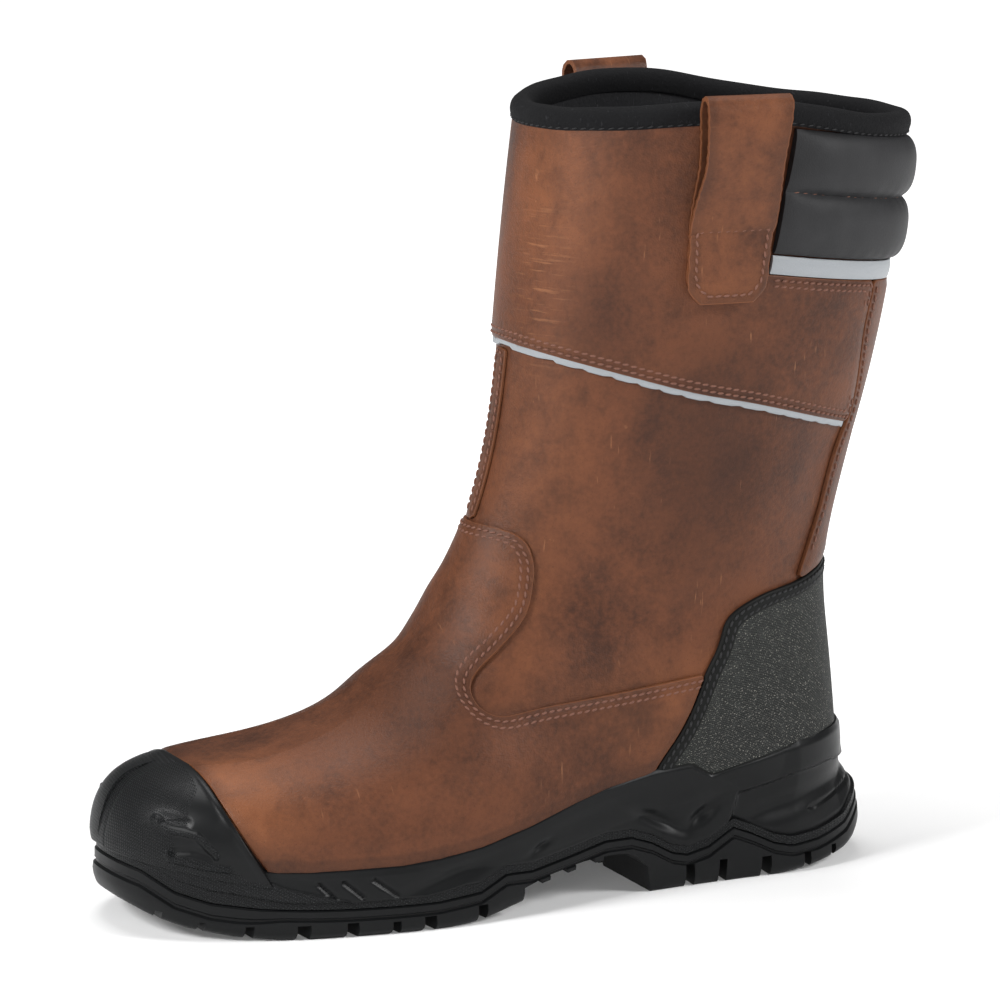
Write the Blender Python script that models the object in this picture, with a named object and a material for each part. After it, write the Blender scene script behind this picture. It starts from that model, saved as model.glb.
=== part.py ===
"""Rigger boot for the left foot, size EU 42, standing empty on its sole.

Metres, +Z up. The toe points to -Y, the heel to +Y, and the outer (little toe) side is +X.
Every piece is worked out from one surface, the outside of the leather upper: half_width()
gives its breadth at a point of the side view, and skin() walks over it in rings from the
feather line, where upper and sole meet, to the collar.
"""
import math

import bpy
import numpy as np

# Driving sizes of the leather, in metres
WALL = 0.0022          # lined leather upper
GAP = 0.0003           # clearance between curved pieces
LAYER = 0.0020         # overlay leather
SOLE_CLEAR = 0.0007    # clearance between upper and sole cup
RIM_CLEAR = 0.0005     # clearance between the sole's rim and the overlays above it
RIM_WIDE = 0.0026      # least width of the sole's rim beside the upper
DRAW_FRONT, DRAW_BACK = -0.100, 0.095      # between these places the sole's inner and outer rings line up
TOE_END, HEEL_END = -0.1530, 0.1360
TOE_NOSE, HEEL_NOSE = (0.066, 2.25), (0.046, 2.1)   # length and roundness of the plan ends
FEATHER_INSET = 0.0045

# The leg leans back, and the foot turns into the leg in a fan about a pivot line over the ball
PIVOT_Y, PIVOT_Z = -0.075, 0.180
LEAN = math.radians(4.0)
FAN = 0.120
TURN = math.pi / 2 - LEAN
UP_LEG = np.array([math.sin(LEAN), math.cos(LEAN)])
ACROSS_LEG = np.array([math.cos(LEAN), -math.sin(LEAN)])

# Side view of the upper: toe, instep and shin in front, heel and calf behind, (y, z)
FRONT = [(-0.1530, 0.0260), (-0.1526, 0.0370), (-0.1475, 0.0495), (-0.1310, 0.0567), (-0.1080, 0.0600),
         (-0.0800, 0.0650), (-0.0630, 0.0715), (-0.0480, 0.0825), (-0.0350, 0.0960), (-0.0225, 0.1145),
         (-0.0115, 0.1380), (-0.0025, 0.1680), (0.0035, 0.2130), (0.0083, 0.2550), (0.0130, 0.2915)]
BACK = [(0.1360, 0.0340), (0.1345, 0.0535), (0.1318, 0.0820), (0.1298, 0.1100), (0.1348, 0.1400),
        (0.1425, 0.1700), (0.1548, 0.2250), (0.1608, 0.2825)]
FLOOR = [(-0.150, 0.030), (-0.100, 0.020), (-0.050, 0.018), (0.000, 0.022), (0.050, 0.030),
         (0.100, 0.034), (0.146, 0.034)]
RIM_RISE = [(0.00, -0.0015), (0.25, 0.0040), (0.50, 0.0060), (0.75, 0.0012), (1.00, -0.0005)]

# Sections of the last and the leg, station along the fan line
SECTIONS = [
    # name, station, outer side, inner side, height of widest point, top curve, side curve
    ("toe", -0.075, 0.0480, 0.0430, 0.66, 2.20, 2.20),
    ("toe box", -0.035, 0.0500, 0.0470, 0.66, 2.15, 2.20),
    ("joint", 0.000, 0.0520, 0.0500, 0.70, 2.00, 2.20),
    ("ball", 0.024, 0.0525, 0.0500, 0.72, 1.95, 2.20),
    ("waist", 0.049, 0.0462, 0.0432, 0.66, 2.00, 2.20),
    ("heel", 0.073, 0.0430, 0.0410, 0.58, 2.00, 2.20),
    ("ankle", 0.098, 0.0435, 0.0420, 0.50, 2.00, 2.10),
    ("leg", 0.122, 0.0480, 0.0470, 0.50, 2.05, 2.10),
    ("calf", 0.170, 0.0520, 0.0510, 0.50, 2.10, 2.15),
    ("collar", 0.236, 0.0550, 0.0540, 0.50, 2.10, 2.20),
]
RINGS, COLUMNS = 18, 15    # rings up the boot, columns round half of it
RING_CROWD = 1.35          # rings lie closer together near the sole
BACK_LAG = 1.5             # rings rise later at the heel than at the toe

# Plan of the sole
SOLE_TOE, SOLE_HEEL = -0.1580, 0.1470
SOLE_TOE_NOSE, SOLE_HEEL_NOSE = (0.070, 2.25), (0.050, 2.15)
SOLE_PLAN = [
    # y, outer side, inner side
    (-0.156, 0.0500, 0.0430), (-0.115, 0.0520, 0.0490), (-0.062, 0.0565, 0.0540), (-0.020, 0.0540, 0.0470),
    (0.030, 0.0455, 0.0375), (0.085, 0.0425, 0.0395), (0.146, 0.0425, 0.0415),
]
CENTRE_LINE = [(-0.156, -0.0070), (-0.110, -0.0045), (-0.050, 0.0), (0.030, 0.0), (0.120, 0.0)]

# Side view of the sole, (y, z): ground contact, top of the outsole, zigzag step and top edge
TREAD = [(-0.158, 0.0118), (-0.150, 0.0078), (-0.140, 0.0045), (-0.125, 0.0018), (-0.110, 0.0003),
         (-0.102, 0.0), (-0.045, 0.0), (-0.033, 0.0010), (-0.015, 0.0055), (0.000, 0.0055), (0.034, 0.0),
         (0.098, 0.0), (0.112, 0.0014), (0.128, 0.0038), (0.138, 0.0060), (0.147, 0.0095)]
ZIGZAG = [(-0.158, 0.0310), (-0.152, 0.0290), (-0.143, 0.0225), (-0.132, 0.0190), (-0.115, 0.0168),
          (-0.098, 0.0158), (-0.082, 0.0152), (-0.065, 0.0150), (-0.050, 0.0150), (-0.033, 0.0158),
          (-0.0225, 0.0205), (-0.011, 0.0200), (0.008, 0.0232), (0.022, 0.0259), (0.0335, 0.0256),
          (0.0425, 0.0224), (0.0515, 0.0173), (0.058, 0.0158), (0.067, 0.0178), (0.0775, 0.0240),
          (0.086, 0.0205), (0.095, 0.0160), (0.103, 0.0140), (0.115, 0.0150), (0.131, 0.0185),
          (0.139, 0.0235), (0.147, 0.0265)]
STRIP_FORE, STRIP_REST = 0.0050, 0.0036     # height of the textured strip under the zigzag
SOLE_TOP = [(-0.158, 0.0330), (-0.146, 0.0318), (-0.132, 0.0285), (-0.112, 0.0262), (-0.098, 0.0256),
            (-0.065, 0.0255), (-0.050, 0.0268), (-0.033, 0.0293), (-0.011, 0.0348), (0.008, 0.0405),
            (0.022, 0.0440), (0.0425, 0.0474), (0.058, 0.0485), (0.067, 0.0430), (0.086, 0.0468),
            (0.106, 0.0508), (0.126, 0.0517), (0.147, 0.0512)]
HOLLOWS = [
    # middle y, half length, depth of a scallop pressed into the side of the midsole
    (-0.046, 0.016, 0.0016), (-0.004, 0.012, 0.0012), (0.052, 0.012, 0.0014), (0.100, 0.016, 0.0022),
]
HEEL_BAND_FROM, HEEL_BAND_HEIGHT, HEEL_BAND_STEP, HEEL_BAND_LIP = 0.064, 0.0095, 0.0016, 0.0002
OUTSOLE_RINGS = [
    # share of the outsole's height, rise from there, inset from the widest outline
    (0.00, 0.0000, 0.0024), (0.00, 0.0016, 0.0012), (0.62, 0.0000, 0.0006), (1.00, -0.0008, 0.0002),
    (1.00, 0.0000, 0.0010),
]
STRIP_INSET, STEP_INSET, SIDE_INSET, RIM_INSET = 0.0014, 0.0004, 0.0008, 0.0020    # insets up the midsole
HEEL_TUCK, TUCK_FROM, TUCK_OVER = 0.0058, 0.106, 0.034   # the cup leans in behind the heel
BREAST_Y, BREAST_LEAN = 0.0400, 0.0045      # front face of the heel, and how far its foot lies further back
SHANK_ARCH = [(-0.0150, 0.0110), (-0.0080, 0.0130), (0.0040, 0.0152), (0.0140, 0.0168), (0.0240, 0.0172),
              (0.0330, 0.0158), (BREAST_Y, 0.0105)]
SHANK_NUBS = [-0.0055, 0.0060, 0.0185]      # middles of three low ribs across the arch
NUB_HALF, NUB_SLOPE, NUB_HEIGHT = 0.0018, 0.0004, 0.0016
GROOVES = [
    # y at the edge, how far ahead the middle lies, width, depth
    (-0.1470, 0.000, 0.0028, 0.0026), (-0.1330, 0.003, 0.0030, 0.0032), (-0.1170, 0.005, 0.0038, 0.0040),
    (-0.0980, 0.007, 0.0056, 0.0050), (-0.0800, 0.009, 0.0052, 0.0050), (-0.0640, 0.009, 0.0040, 0.0042),
    (-0.0512, 0.009, 0.0056, 0.0050), (-0.0303, 0.008, 0.0048, 0.0050),
    (0.0560, -0.006, 0.0046, 0.0082), (0.0700, -0.006, 0.0042, 0.0082), (0.0885, -0.006, 0.0050, 0.0076),
    (0.1075, -0.004, 0.0040, 0.0055), (0.1215, -0.002, 0.0034, 0.0045),
]
CHANNELS = [
    # name, x, from y, to y, width, depth of a groove along the sole
    ("forefoot outer", 0.0190, -0.1300, -0.0050, 0.0044, 0.0042),
    ("forefoot inner", -0.0190, -0.1300, -0.0050, 0.0044, 0.0042),
    ("heel middle", 0.0000, 0.0300, 0.1280, 0.0050, 0.0050),
]

# Overlays, drawn in the side view and cut from a layer over the upper, (y, z)
CAP_EDGE = [(-0.1350, 0.0720), (-0.1310, 0.0626), (-0.1275, 0.0566), (-0.1262, 0.0513), (-0.1221, 0.0413),
            (-0.1164, 0.0318), (-0.1085, 0.0200)]
VAMP_EDGE = [(-0.0300, 0.1390), (-0.0150, 0.1381), (-0.0057, 0.1372), (-0.0009, 0.1349), (0.0020, 0.1285),
             (0.0001, 0.1164), (-0.0032, 0.1084), (-0.0099, 0.1006), (-0.0171, 0.0941), (-0.0242, 0.0882),
             (-0.0275, 0.0835), (-0.0272, 0.0780), (-0.0216, 0.0738), (-0.0128, 0.0741), (0.0132, 0.0768),
             (0.0377, 0.0788), (0.0700, 0.0821)]
COUNTER_EDGE = [(0.1450, 0.1192), (0.1251, 0.1152), (0.1066, 0.1113), (0.0911, 0.1094), (0.0801, 0.1060),
                (0.0731, 0.1011), (0.0699, 0.0925), (0.0650, 0.0830), (0.0597, 0.0714), (0.0523, 0.0589),
                (0.0448, 0.0495), (0.0400, 0.0420)]
CUFF_EDGE = [(-0.0400, 0.2215), (-0.0037, 0.2071), (0.0155, 0.2012), (0.0339, 0.1958), (0.0551, 0.1895),
             (0.0788, 0.1842), (0.1063, 0.1765), (0.1320, 0.1690)]
PIPING, PIPING_THICK = 0.0022, 0.0015
BACK_STAY_EDGE = [(0.1350, 0.2330), (0.1348, 0.2199), (0.1323, 0.2102), (0.1288, 0.1714), (0.1245, 0.1617),
                  (0.1187, 0.1395), (0.1127, 0.1245), (0.1063, 0.1120)]
FRONT_STAY_SIDES, FRONT_STAY_REACH = (-0.0070, 0.0020), (-0.0300, 0.0060)   # its edges in X, its cut in Y
PAD_FRONT, PAD_SLOPE = 0.0838, -0.150       # where the pad starts, and how its lines fall towards the back
PAD_LEAN = 0.165                            # its front edge leans back beside the pull loop
BAND_LOW, BAND_HIGH = 0.2323, 0.2393        # reflective band, heights at PAD_FRONT
PAD_ROWS = [
    # height at PAD_FRONT, thickness of the pad
    (0.2400, 0.0022), (0.2440, 0.0052), (0.2560, 0.0056), (0.2630, 0.0026),
    (0.2672, 0.0050), (0.2815, 0.0046), (0.2858, 0.0022),
]
BAND_THICK = 0.0016
CAP_REAR, CAP_FRONT = 0.0022, 0.0052        # thickness of the toe cap at its rear edge and at the toe
CAP_FROM_Y, CAP_OVER_Y = -0.120, 0.030      # ahead of this place, and over this length, the cap thickens
CAP_FROM_Z, CAP_OVER_Z = 0.054, 0.026       # the same below this height
CUFF_TOP = 0.0060                           # the cuff's upper edge below the rim, under the binding

# Binding over the collar: distance outside the leather, and height above its rim
BINDING = [(0.0024, -0.0056), (0.0034, -0.0024), (0.0022, 0.0018), (-0.0010, 0.0030), (-0.0042, 0.0018),
           (-0.0054, -0.0024), (-0.0044, -0.0056), (-0.0026, -0.0056), (-0.0026, 0.0004),
           (0.0004, 0.0004), (0.0004, -0.0056)]

# Pull loops: a folded strap, both ends sewn to the outside of the leg
LOOP_Y = {1: 0.0705, -1: 0.0745}            # middles of the outer and the inner loop
LOOP_WIDE_TOP, LOOP_WIDE_LOW = 0.0312, 0.0290
LOOP_STRAP = 0.0016
LOOP_HOLE = [
    # height above the rim, inner side of the gap, outer side of the gap
    (-0.0450, 0.0054, 0.0054), (-0.0330, 0.0054, 0.0080), (-0.0210, 0.0058, 0.0114),
    (-0.0100, 0.0060, 0.0130), (-0.0010, 0.0060, 0.0132), (0.0030, 0.0068, 0.0122), (0.0045, 0.0096, 0.0096),
]
LOOP_FOOT = -0.0710        # lower end of the sewn patch, below the rim
LOOP_SEAT = 0.0032         # distance of the patch from the leather of the upper
LOOP_SHOULDER = 0.0008     # extra height of the strap's outside where it turns over
INSOLE_THICK = 0.0040
INSOLE_CLEAR = 0.0020

# Colours, roughness
FINISHES = {
    "brown leather": ((0.23, 0.095, 0.045), 0.55),
    "leather strap": ((0.26, 0.11, 0.055), 0.60),
    "black moulding": ((0.018, 0.019, 0.020), 0.45),
    "black rubber": ((0.012, 0.013, 0.014), 0.55),
    "coated fabric": ((0.045, 0.047, 0.045), 0.75),
    "soft black": ((0.030, 0.030, 0.032), 0.50),
    "reflective silver": ((0.55, 0.58, 0.60), 0.35),
    "suede binding": ((0.006, 0.006, 0.007), 0.90),
    "insole felt": ((0.05, 0.05, 0.055), 0.90),
}


def smooth(points):
    """Natural cubic curve through (x, y) pairs, as a function of x that holds its end values."""
    xs, ys = np.array([p[:2] for p in points], float).T
    n = len(xs)
    h = np.diff(xs)
    a, b = np.eye(n), np.zeros(n)
    for i in range(1, n - 1):
        a[i, i - 1:i + 2] = h[i - 1], 2 * (h[i - 1] + h[i]), h[i]
        b[i] = 6 * ((ys[i + 1] - ys[i]) / h[i] - (ys[i] - ys[i - 1]) / h[i - 1])
    m = np.linalg.solve(a, b)

    def at(x):
        t = np.clip(np.asarray(x, float), xs[0], xs[-1])
        i = np.clip(np.searchsorted(xs, t) - 1, 0, n - 2)
        right, left = t - xs[i], xs[i + 1] - t
        bend = (m[i] * left**3 + m[i + 1] * right**3) / (6 * h[i])
        from_left = (ys[i] / h[i] - m[i] * h[i] / 6) * left
        return bend + from_left + (ys[i + 1] / h[i] - m[i + 1] * h[i] / 6) * right
    return at


def straight(points):
    """Straight runs through (x, y) pairs, as a function of x."""
    xs, ys = np.array(points, float).T
    return lambda x: np.interp(x, xs, ys)


def through(points, count):
    """An evenly spaced smooth line of count points through side-view points."""
    p = np.array(points, float)
    run = np.concatenate([[0], np.cumsum(np.hypot(*np.diff(p, axis=0).T))])
    t = np.linspace(0, run[-1], count)
    return np.stack([smooth(np.stack([run, p[:, k]], 1))(t) for k in (0, 1)], 1)


def round_end(distance, length, power):
    """Share of the full width at a distance from the tip of a rounded end."""
    u = 1 - np.clip(distance / length, 0, 1)
    return (1 - u**power) ** (1 / power)


def side_of(table, side):
    """Width curve of a plan table: column 1 is the outer side, column 2 the inner side."""
    column = 1 if side > 0 else 2
    return smooth([(row[0], row[column]) for row in table])


floor_height = smooth(FLOOR)
centre_x = smooth(CENTRE_LINE)
sole_side = {1: side_of(SOLE_PLAN, 1), -1: side_of(SOLE_PLAN, -1)}
FRONT_LINE = through(FRONT, 240)
BACK_LINE = through(BACK, 240)


def fan(y, z):
    """Station along the foot and leg, and depth under the instep side, of a side-view point."""
    ry, rz = np.asarray(y, float) - PIVOT_Y, np.asarray(z, float) - PIVOT_Z
    along = ry * UP_LEG[0] + rz * UP_LEG[1]
    across = ry * ACROSS_LEG[0] + rz * ACROSS_LEG[1]
    turned = np.arctan2(ry, -rz) / TURN * FAN
    foot, leg = ry < 0, along > 0
    station = np.where(foot, ry, np.where(leg, FAN + along, turned))
    depth = np.where(foot, -rz, np.where(leg, across, np.hypot(ry, rz)))
    return station, depth


_floor_y = np.linspace(TOE_END, HEEL_END, 160)
_under = np.concatenate([np.stack([_floor_y, floor_height(_floor_y)], 1), BACK_LINE[1:]])
_top_station, _top_depth = fan(*FRONT_LINE.T)
_under_station, _under_depth = fan(*_under.T)
LAST_FLOOR_STATION = float(fan(HEEL_END, floor_height(HEEL_END))[0])
section = {name: smooth([(row[1], row[k]) for row in SECTIONS])
           for k, name in enumerate(("outer", "inner", "widest", "top", "side"), start=2)}


def feather_width(y, side):
    """Half width of the feather line, where the upper meets the sole."""
    ends = round_end(y - TOE_END, *TOE_NOSE) * round_end(HEEL_END - y, *HEEL_NOSE)
    return (sole_side[side](y) - FEATHER_INSET) * ends


def half_width(y, z, side):
    """Half width of the leather upper at a side-view point, from its sections."""
    station, depth = fan(y, z)
    top = np.interp(station, _top_station, _top_depth)
    low = np.interp(station, _under_station, _under_depth)
    t = np.clip((depth - top) / np.maximum(low - top, 1e-6), 0, 1)
    full = section["outer" if side > 0 else "inner"](station)
    full = full * round_end(station - (TOE_END - PIVOT_Y), *TOE_NOSE)
    low_y = np.interp(station, _under_station, _under[:, 0])
    foot = np.where(station < LAST_FLOOR_STATION, feather_width(low_y, side), 0.0)
    widest = section["widest"](station)
    over, below = np.clip((widest - t) / widest, 0, 1), np.clip((t - widest) / (1 - widest), 0, 1)
    top_power, side_power = section["top"](station), section["side"](station)
    close = 1 - np.clip(foot / np.maximum(full, 1e-6), 0, 1) ** side_power
    upper_part = (1 - over**top_power) ** (1 / top_power)
    lower_part = (1 - close * below**side_power) ** (1 / side_power)
    return full * np.where(t < widest, upper_part, lower_part)


def at_share(line, share):
    """Point of a side-view line at a share of its length."""
    run = np.concatenate([[0], np.cumsum(np.hypot(*np.diff(line, axis=0).T))])
    return np.array([np.interp(share * run[-1], run, line[:, k]) for k in (0, 1)])


def both_sides(y, z):
    """A ring from side-view points, front to back down the outer side and back up the inner side."""
    outer = np.stack([centre_x(y) + half_width(y, z, 1), y, z], 1)
    inner = np.stack([centre_x(y) - half_width(y, z, -1), y, z], 1)
    return np.concatenate([outer, inner[-2:0:-1]])


def skin(rings=RINGS, columns=COLUMNS):
    """Outside of the upper in rings from the feather line to the rim, (ring, column, xyz)."""
    rise_at_rim = smooth(RIM_RISE)
    s = (1 - np.cos(np.linspace(0, math.pi, columns + 1))) / 2
    out = []
    for v in np.linspace(0, 1, rings + 1) ** RING_CROWD:
        front, back = at_share(FRONT_LINE, v), at_share(BACK_LINE, v**BACK_LAG)
        y, z = front[0] + (back[0] - front[0]) * s, front[1] + (back[1] - front[1]) * s
        chord = FRONT[0][1] + (BACK[0][1] - FRONT[0][1]) * (y - TOE_END) / (HEEL_END - TOE_END)
        z = z + (floor_height(y) - chord) * (1 - v) ** 6
        rise = rise_at_rim(s) * v**8
        out.append(both_sides(y + rise * UP_LEG[0], z + rise * UP_LEG[1]))
    return np.array(out)


def normals(points, closed=True):
    """Outward directions of a grid whose columns run round the boot and whose rings rise."""
    if closed:
        round_it = np.roll(points, -1, 1) - np.roll(points, 1, 1)
    else:
        round_it = np.gradient(points, axis=1)
    n = np.cross(round_it, np.gradient(points, axis=0))
    return n / np.maximum(np.linalg.norm(n, axis=2, keepdims=True), 1e-9)


def finish(name):
    """A Principled material, made once for each finish."""
    if name in bpy.data.materials:
        return bpy.data.materials[name]
    colour, roughness = FINISHES[name]
    material = bpy.data.materials.new(name)
    material.use_nodes = True
    shader = material.node_tree.nodes["Principled BSDF"]
    shader.inputs["Base Color"].default_value = (*colour, 1.0)
    shader.inputs["Roughness"].default_value = roughness
    shader.inputs["Metallic"].default_value = 0.0
    return material


def make(name, points, faces, finish_name=None):
    """One mesh object; without a finish it is a cutter, shown as wire and left out of the render."""
    mesh = bpy.data.meshes.new(name)
    mesh.from_pydata([tuple(map(float, p)) for p in points], [], faces)
    mesh.update()
    piece = bpy.data.objects.new(name, mesh)
    bpy.context.scene.collection.objects.link(piece)
    if finish_name:
        mesh.materials.append(finish(finish_name))
        mesh.shade_smooth()
        mesh.set_sharp_from_angle(angle=math.radians(35))
    else:
        piece.display_type = "WIRE"
        piece.hide_render = True
    return piece


def strips(rows, columns, closed, turned_from=None):
    """Triangles between neighbouring rows of a point grid, facing outwards.

    Rows from turned_from on belong to an inner skin that runs back down: their quads are split
    along the other diagonal, so that the facets of both skins stay parallel.
    """
    faces = []
    for r in range(rows - 1):
        for c in range(columns if closed else columns - 1):
            a, b = r * columns + c, r * columns + (c + 1) % columns
            if turned_from is not None and r >= turned_from:
                faces += [(a, b, a + columns), (b, b + columns, a + columns)]
            else:
                faces += [(a, b, b + columns), (a, b + columns, a + columns)]
    return faces


def hollow(name, outer, inner, finish_name=None):
    """A closed wall between an outer and an inner grid, open at its first and last ring."""
    loop = np.concatenate([outer, inner[::-1]])
    rows, columns = loop.shape[:2]
    faces = strips(rows, columns, True, turned_from=len(outer))
    last = (rows - 1) * columns
    for c in range(columns):
        d = (c + 1) % columns
        faces += [(last + c, last + d, d), (last + c, d, c)]
    return make(name, loop.reshape(-1, 3), faces, finish_name)


def strap(name, outer, inner, finish_name):
    """A closed band between two grids whose columns don't meet, capped at both ends."""
    loop = np.concatenate([outer, inner[::-1]])
    rows, columns = loop.shape[:2]
    faces = strips(rows, columns, False, turned_from=len(outer))
    last = (rows - 1) * columns
    for c in range(columns - 1):
        faces += [(last + c, last + c + 1, c + 1), (last + c, c + 1, c)]
    for end, flip in ((0, True), (columns - 1, False)):
        for r in range(len(outer) - 1):
            quad = [r * columns, (r + 1) * columns, (rows - 2 - r) * columns, (rows - 1 - r) * columns]
            quad = [q + end for q in (quad[::-1] if flip else quad)]
            faces += [(quad[0], quad[3], quad[2]), (quad[0], quad[2], quad[1])]
    return make(name, loop.reshape(-1, 3), faces, finish_name)


def slab(name, levels, finish_name):
    """A solid from stacked outlines, closed across below and above between its two sides."""
    rows, columns = levels.shape[:2]
    faces = strips(rows, columns, True)
    half, top = columns // 2, (rows - 1) * columns
    for base, up in ((0, False), (top, True)):
        for j in range(half):
            a, b = base + j, base + j + 1
            c, d = base + (columns - j - 1), base + (columns - j) % columns
            ring = [k for i, k in enumerate((a, b, c, d)) if k not in (a, b, c, d)[:i]]
            fan_faces = [(ring[0], ring[i], ring[i + 1]) for i in range(1, len(ring) - 1)]
            faces += fan_faces if up else [f[::-1] for f in fan_faces]
    return make(name, levels.reshape(-1, 3), faces, finish_name)


def prism(name, outline, reach=(-0.12, 0.12)):
    """A cutter: a side-view outline carried across the boot along X."""
    points = np.array(outline, float)
    n = len(points)
    area = np.sum(points[:, 0] * np.roll(points[:, 1], -1) - np.roll(points[:, 0], -1) * points[:, 1])
    if area < 0:
        points = points[::-1]
    verts = [(x, y, z) for x in reach for y, z in points]
    faces = [tuple(range(n))[::-1], tuple(range(n, 2 * n))]
    faces += [(i, (i + 1) % n, n + (i + 1) % n, n + i) for i in range(n)]
    return make(name, verts, faces)


def cut(piece, cutter, operation):
    """A Boolean modifier that keeps the piece editable."""
    modifier = piece.modifiers.new(cutter.name, "BOOLEAN")
    modifier.operation = operation
    modifier.object = cutter
    modifier.solver = "EXACT"


def outline_of(y, side):
    """Half width of the sole at its widest."""
    ends = round_end(y - SOLE_TOE, *SOLE_TOE_NOSE) * round_end(SOLE_HEEL - y, *SOLE_HEEL_NOSE)
    return sole_side[side](y) * ends


def stations():
    """Places along the sole: close together round the ends, and on each corner of the zigzag."""
    toe = SOLE_TOE + 0.060 * (1 - np.cos(np.linspace(0, math.pi / 2, 10)[:-1]))
    heel = SOLE_HEEL - 0.044 * (1 - np.cos(np.linspace(0, math.pi / 2, 9)[:-1]))
    corners = [y for y, _ in ZIGZAG if toe[-1] + 0.004 < y < heel[-1] - 0.002]
    return np.concatenate([toe, corners, heel[::-1]])


STATIONS = stations()
zigzag, sole_top = straight(ZIGZAG), straight(SOLE_TOP)


def ground(y):
    """Height of the tread: exactly flat under ball and heel."""
    return np.maximum(np.interp(y, *np.array(TREAD).T), 0.0)


def parting(y):
    """Height of the joint between outsole and midsole."""
    strip = np.interp(y, [-0.050, -0.020], [STRIP_FORE, STRIP_REST])
    return zigzag(y) - strip


def pushed(ring, amount):
    """A ring moved outwards in plan by an amount for each point."""
    round_it = np.roll(ring, -1, 0) - np.roll(ring, 1, 0)
    out = np.stack([round_it[:, 1], -round_it[:, 0]], 1)
    out /= np.maximum(np.linalg.norm(out, axis=1, keepdims=True), 1e-9)
    moved = ring.copy()
    moved[:, :2] += out * np.broadcast_to(amount, len(ring))[:, None]
    return moved


def paired(values):
    """Values at the stations, laid out like a ring."""
    return np.concatenate([values, values[-2:0:-1]])


def sole_ring(height, inset):
    """Outline of the sole at a height and an inset for each station, flared where the upper is wider."""
    sides = []
    for side in (1, -1):
        width = outline_of(STATIONS, side)
        around = half_width(STATIONS, height, side) + SOLE_CLEAR + RIM_WIDE + inset
        beside_foot = (height > floor_height(STATIONS)) & (STATIONS > -0.110) & (STATIONS < 0.110)
        width = np.where(beside_foot, np.maximum(width, around), width)
        width = np.where(outline_of(STATIONS, side) > 0, width, 0)
        sides.append(np.stack([centre_x(STATIONS) + side * width, STATIONS, height], 1))
    ring = np.concatenate([sides[0], sides[1][-2:0:-1]])
    return pushed(ring, -paired(inset))


def inside(front, back):
    """The stations, drawn in at both ends so that they run from front to back of an inner outline."""
    ends = [SOLE_TOE, DRAW_FRONT, DRAW_BACK, SOLE_HEEL]
    return np.interp(STATIONS, ends, [front, DRAW_FRONT, DRAW_BACK, back])


def cup_ring(height, clear):
    """Outline of the upper at a height for each station, moved out by a clearance."""
    front = np.interp(height[0], FRONT_LINE[:60, 1], FRONT_LINE[:60, 0])
    back = np.interp(height[-1], BACK_LINE[:80, 1], BACK_LINE[:80, 0])
    return pushed(both_sides(inside(front, back), height), clear)


def make_outsole():
    """Rubber outsole: a slab under the zigzag, with its arch, grooves and channels cut in."""
    low, high = ground(STATIONS), parting(STATIONS)
    flat = np.zeros_like(STATIONS)
    levels = [sole_ring(low + (high - low) * share + rise, flat + inset)
              for share, rise, inset in OUTSOLE_RINGS]
    outsole = slab("outsole", np.array(levels), "black rubber")
    below = -0.010
    height = smooth(SHANK_ARCH)
    arch = [tuple(p) for p in through(SHANK_ARCH, 9)]
    foot = NUB_HALF + NUB_SLOPE
    arch = [p for p in arch if all(abs(p[0] - y) > foot for y in SHANK_NUBS)]
    for y in SHANK_NUBS:
        for dy, drop in ((-foot, 0), (-NUB_HALF, NUB_HEIGHT), (NUB_HALF, NUB_HEIGHT), (foot, 0)):
            arch.append((y + dy, float(height(y + dy)) - drop))
    ahead = SHANK_ARCH[0][0] - 0.001
    arch = [(ahead, below)] + sorted(arch) + [(BREAST_Y + BREAST_LEAN, below)]
    cut(outsole, prism("cut arch", arch), "DIFFERENCE")
    for number, (y, ahead, width, depth) in enumerate(GROOVES):
        cut(outsole, groove(f"cut groove {number}", y, ahead, width, depth, below), "DIFFERENCE")
    for name, x, start, end, width, depth in CHANNELS:
        cut(outsole, channel(f"cut channel {name}", x, start, end, width, depth, below), "DIFFERENCE")
    return outsole


def groove(name, y, ahead, width, depth, below):
    """A chevron cutter across the tread, its roof a set depth above the ground line."""
    reach = 0.080
    plan = [(-reach, y - width / 2), (0, y - ahead - width / 2), (reach, y - width / 2),
            (reach, y + width / 2), (0, y - ahead + width / 2), (-reach, y + width / 2)]
    n = len(plan)
    verts = [(px, py, below) for px, py in plan]
    verts += [(px, py, float(ground(y)) + depth) for px, py in plan]
    faces = [(0, 5, 4, 1), (1, 4, 3, 2), (6, 7, 10, 11), (7, 8, 9, 10)]
    faces += [(i, (i + 1) % n, n + (i + 1) % n, n + i) for i in range(n)]
    return make(name, verts, faces)


def channel(name, x, start, end, width, depth, below):
    """A cutter along the tread that follows the ground line."""
    count = 9
    verts, faces = [], []
    for y in np.linspace(start, end, count):
        roof = float(ground(y)) + depth
        verts += [(x - width / 2, y, below), (x + width / 2, y, below),
                  (x + width / 2, y, roof), (x - width / 2, y, roof)]
    for i in range(count - 1):
        a = 4 * i
        faces += [(a + k, a + 4 + k, a + 4 + (k + 1) % 4, a + (k + 1) % 4) for k in range(4)]
    last = 4 * (count - 1)
    faces += [(0, 1, 2, 3), (last + 3, last + 2, last + 1, last)]
    return make(name, verts, faces)


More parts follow.
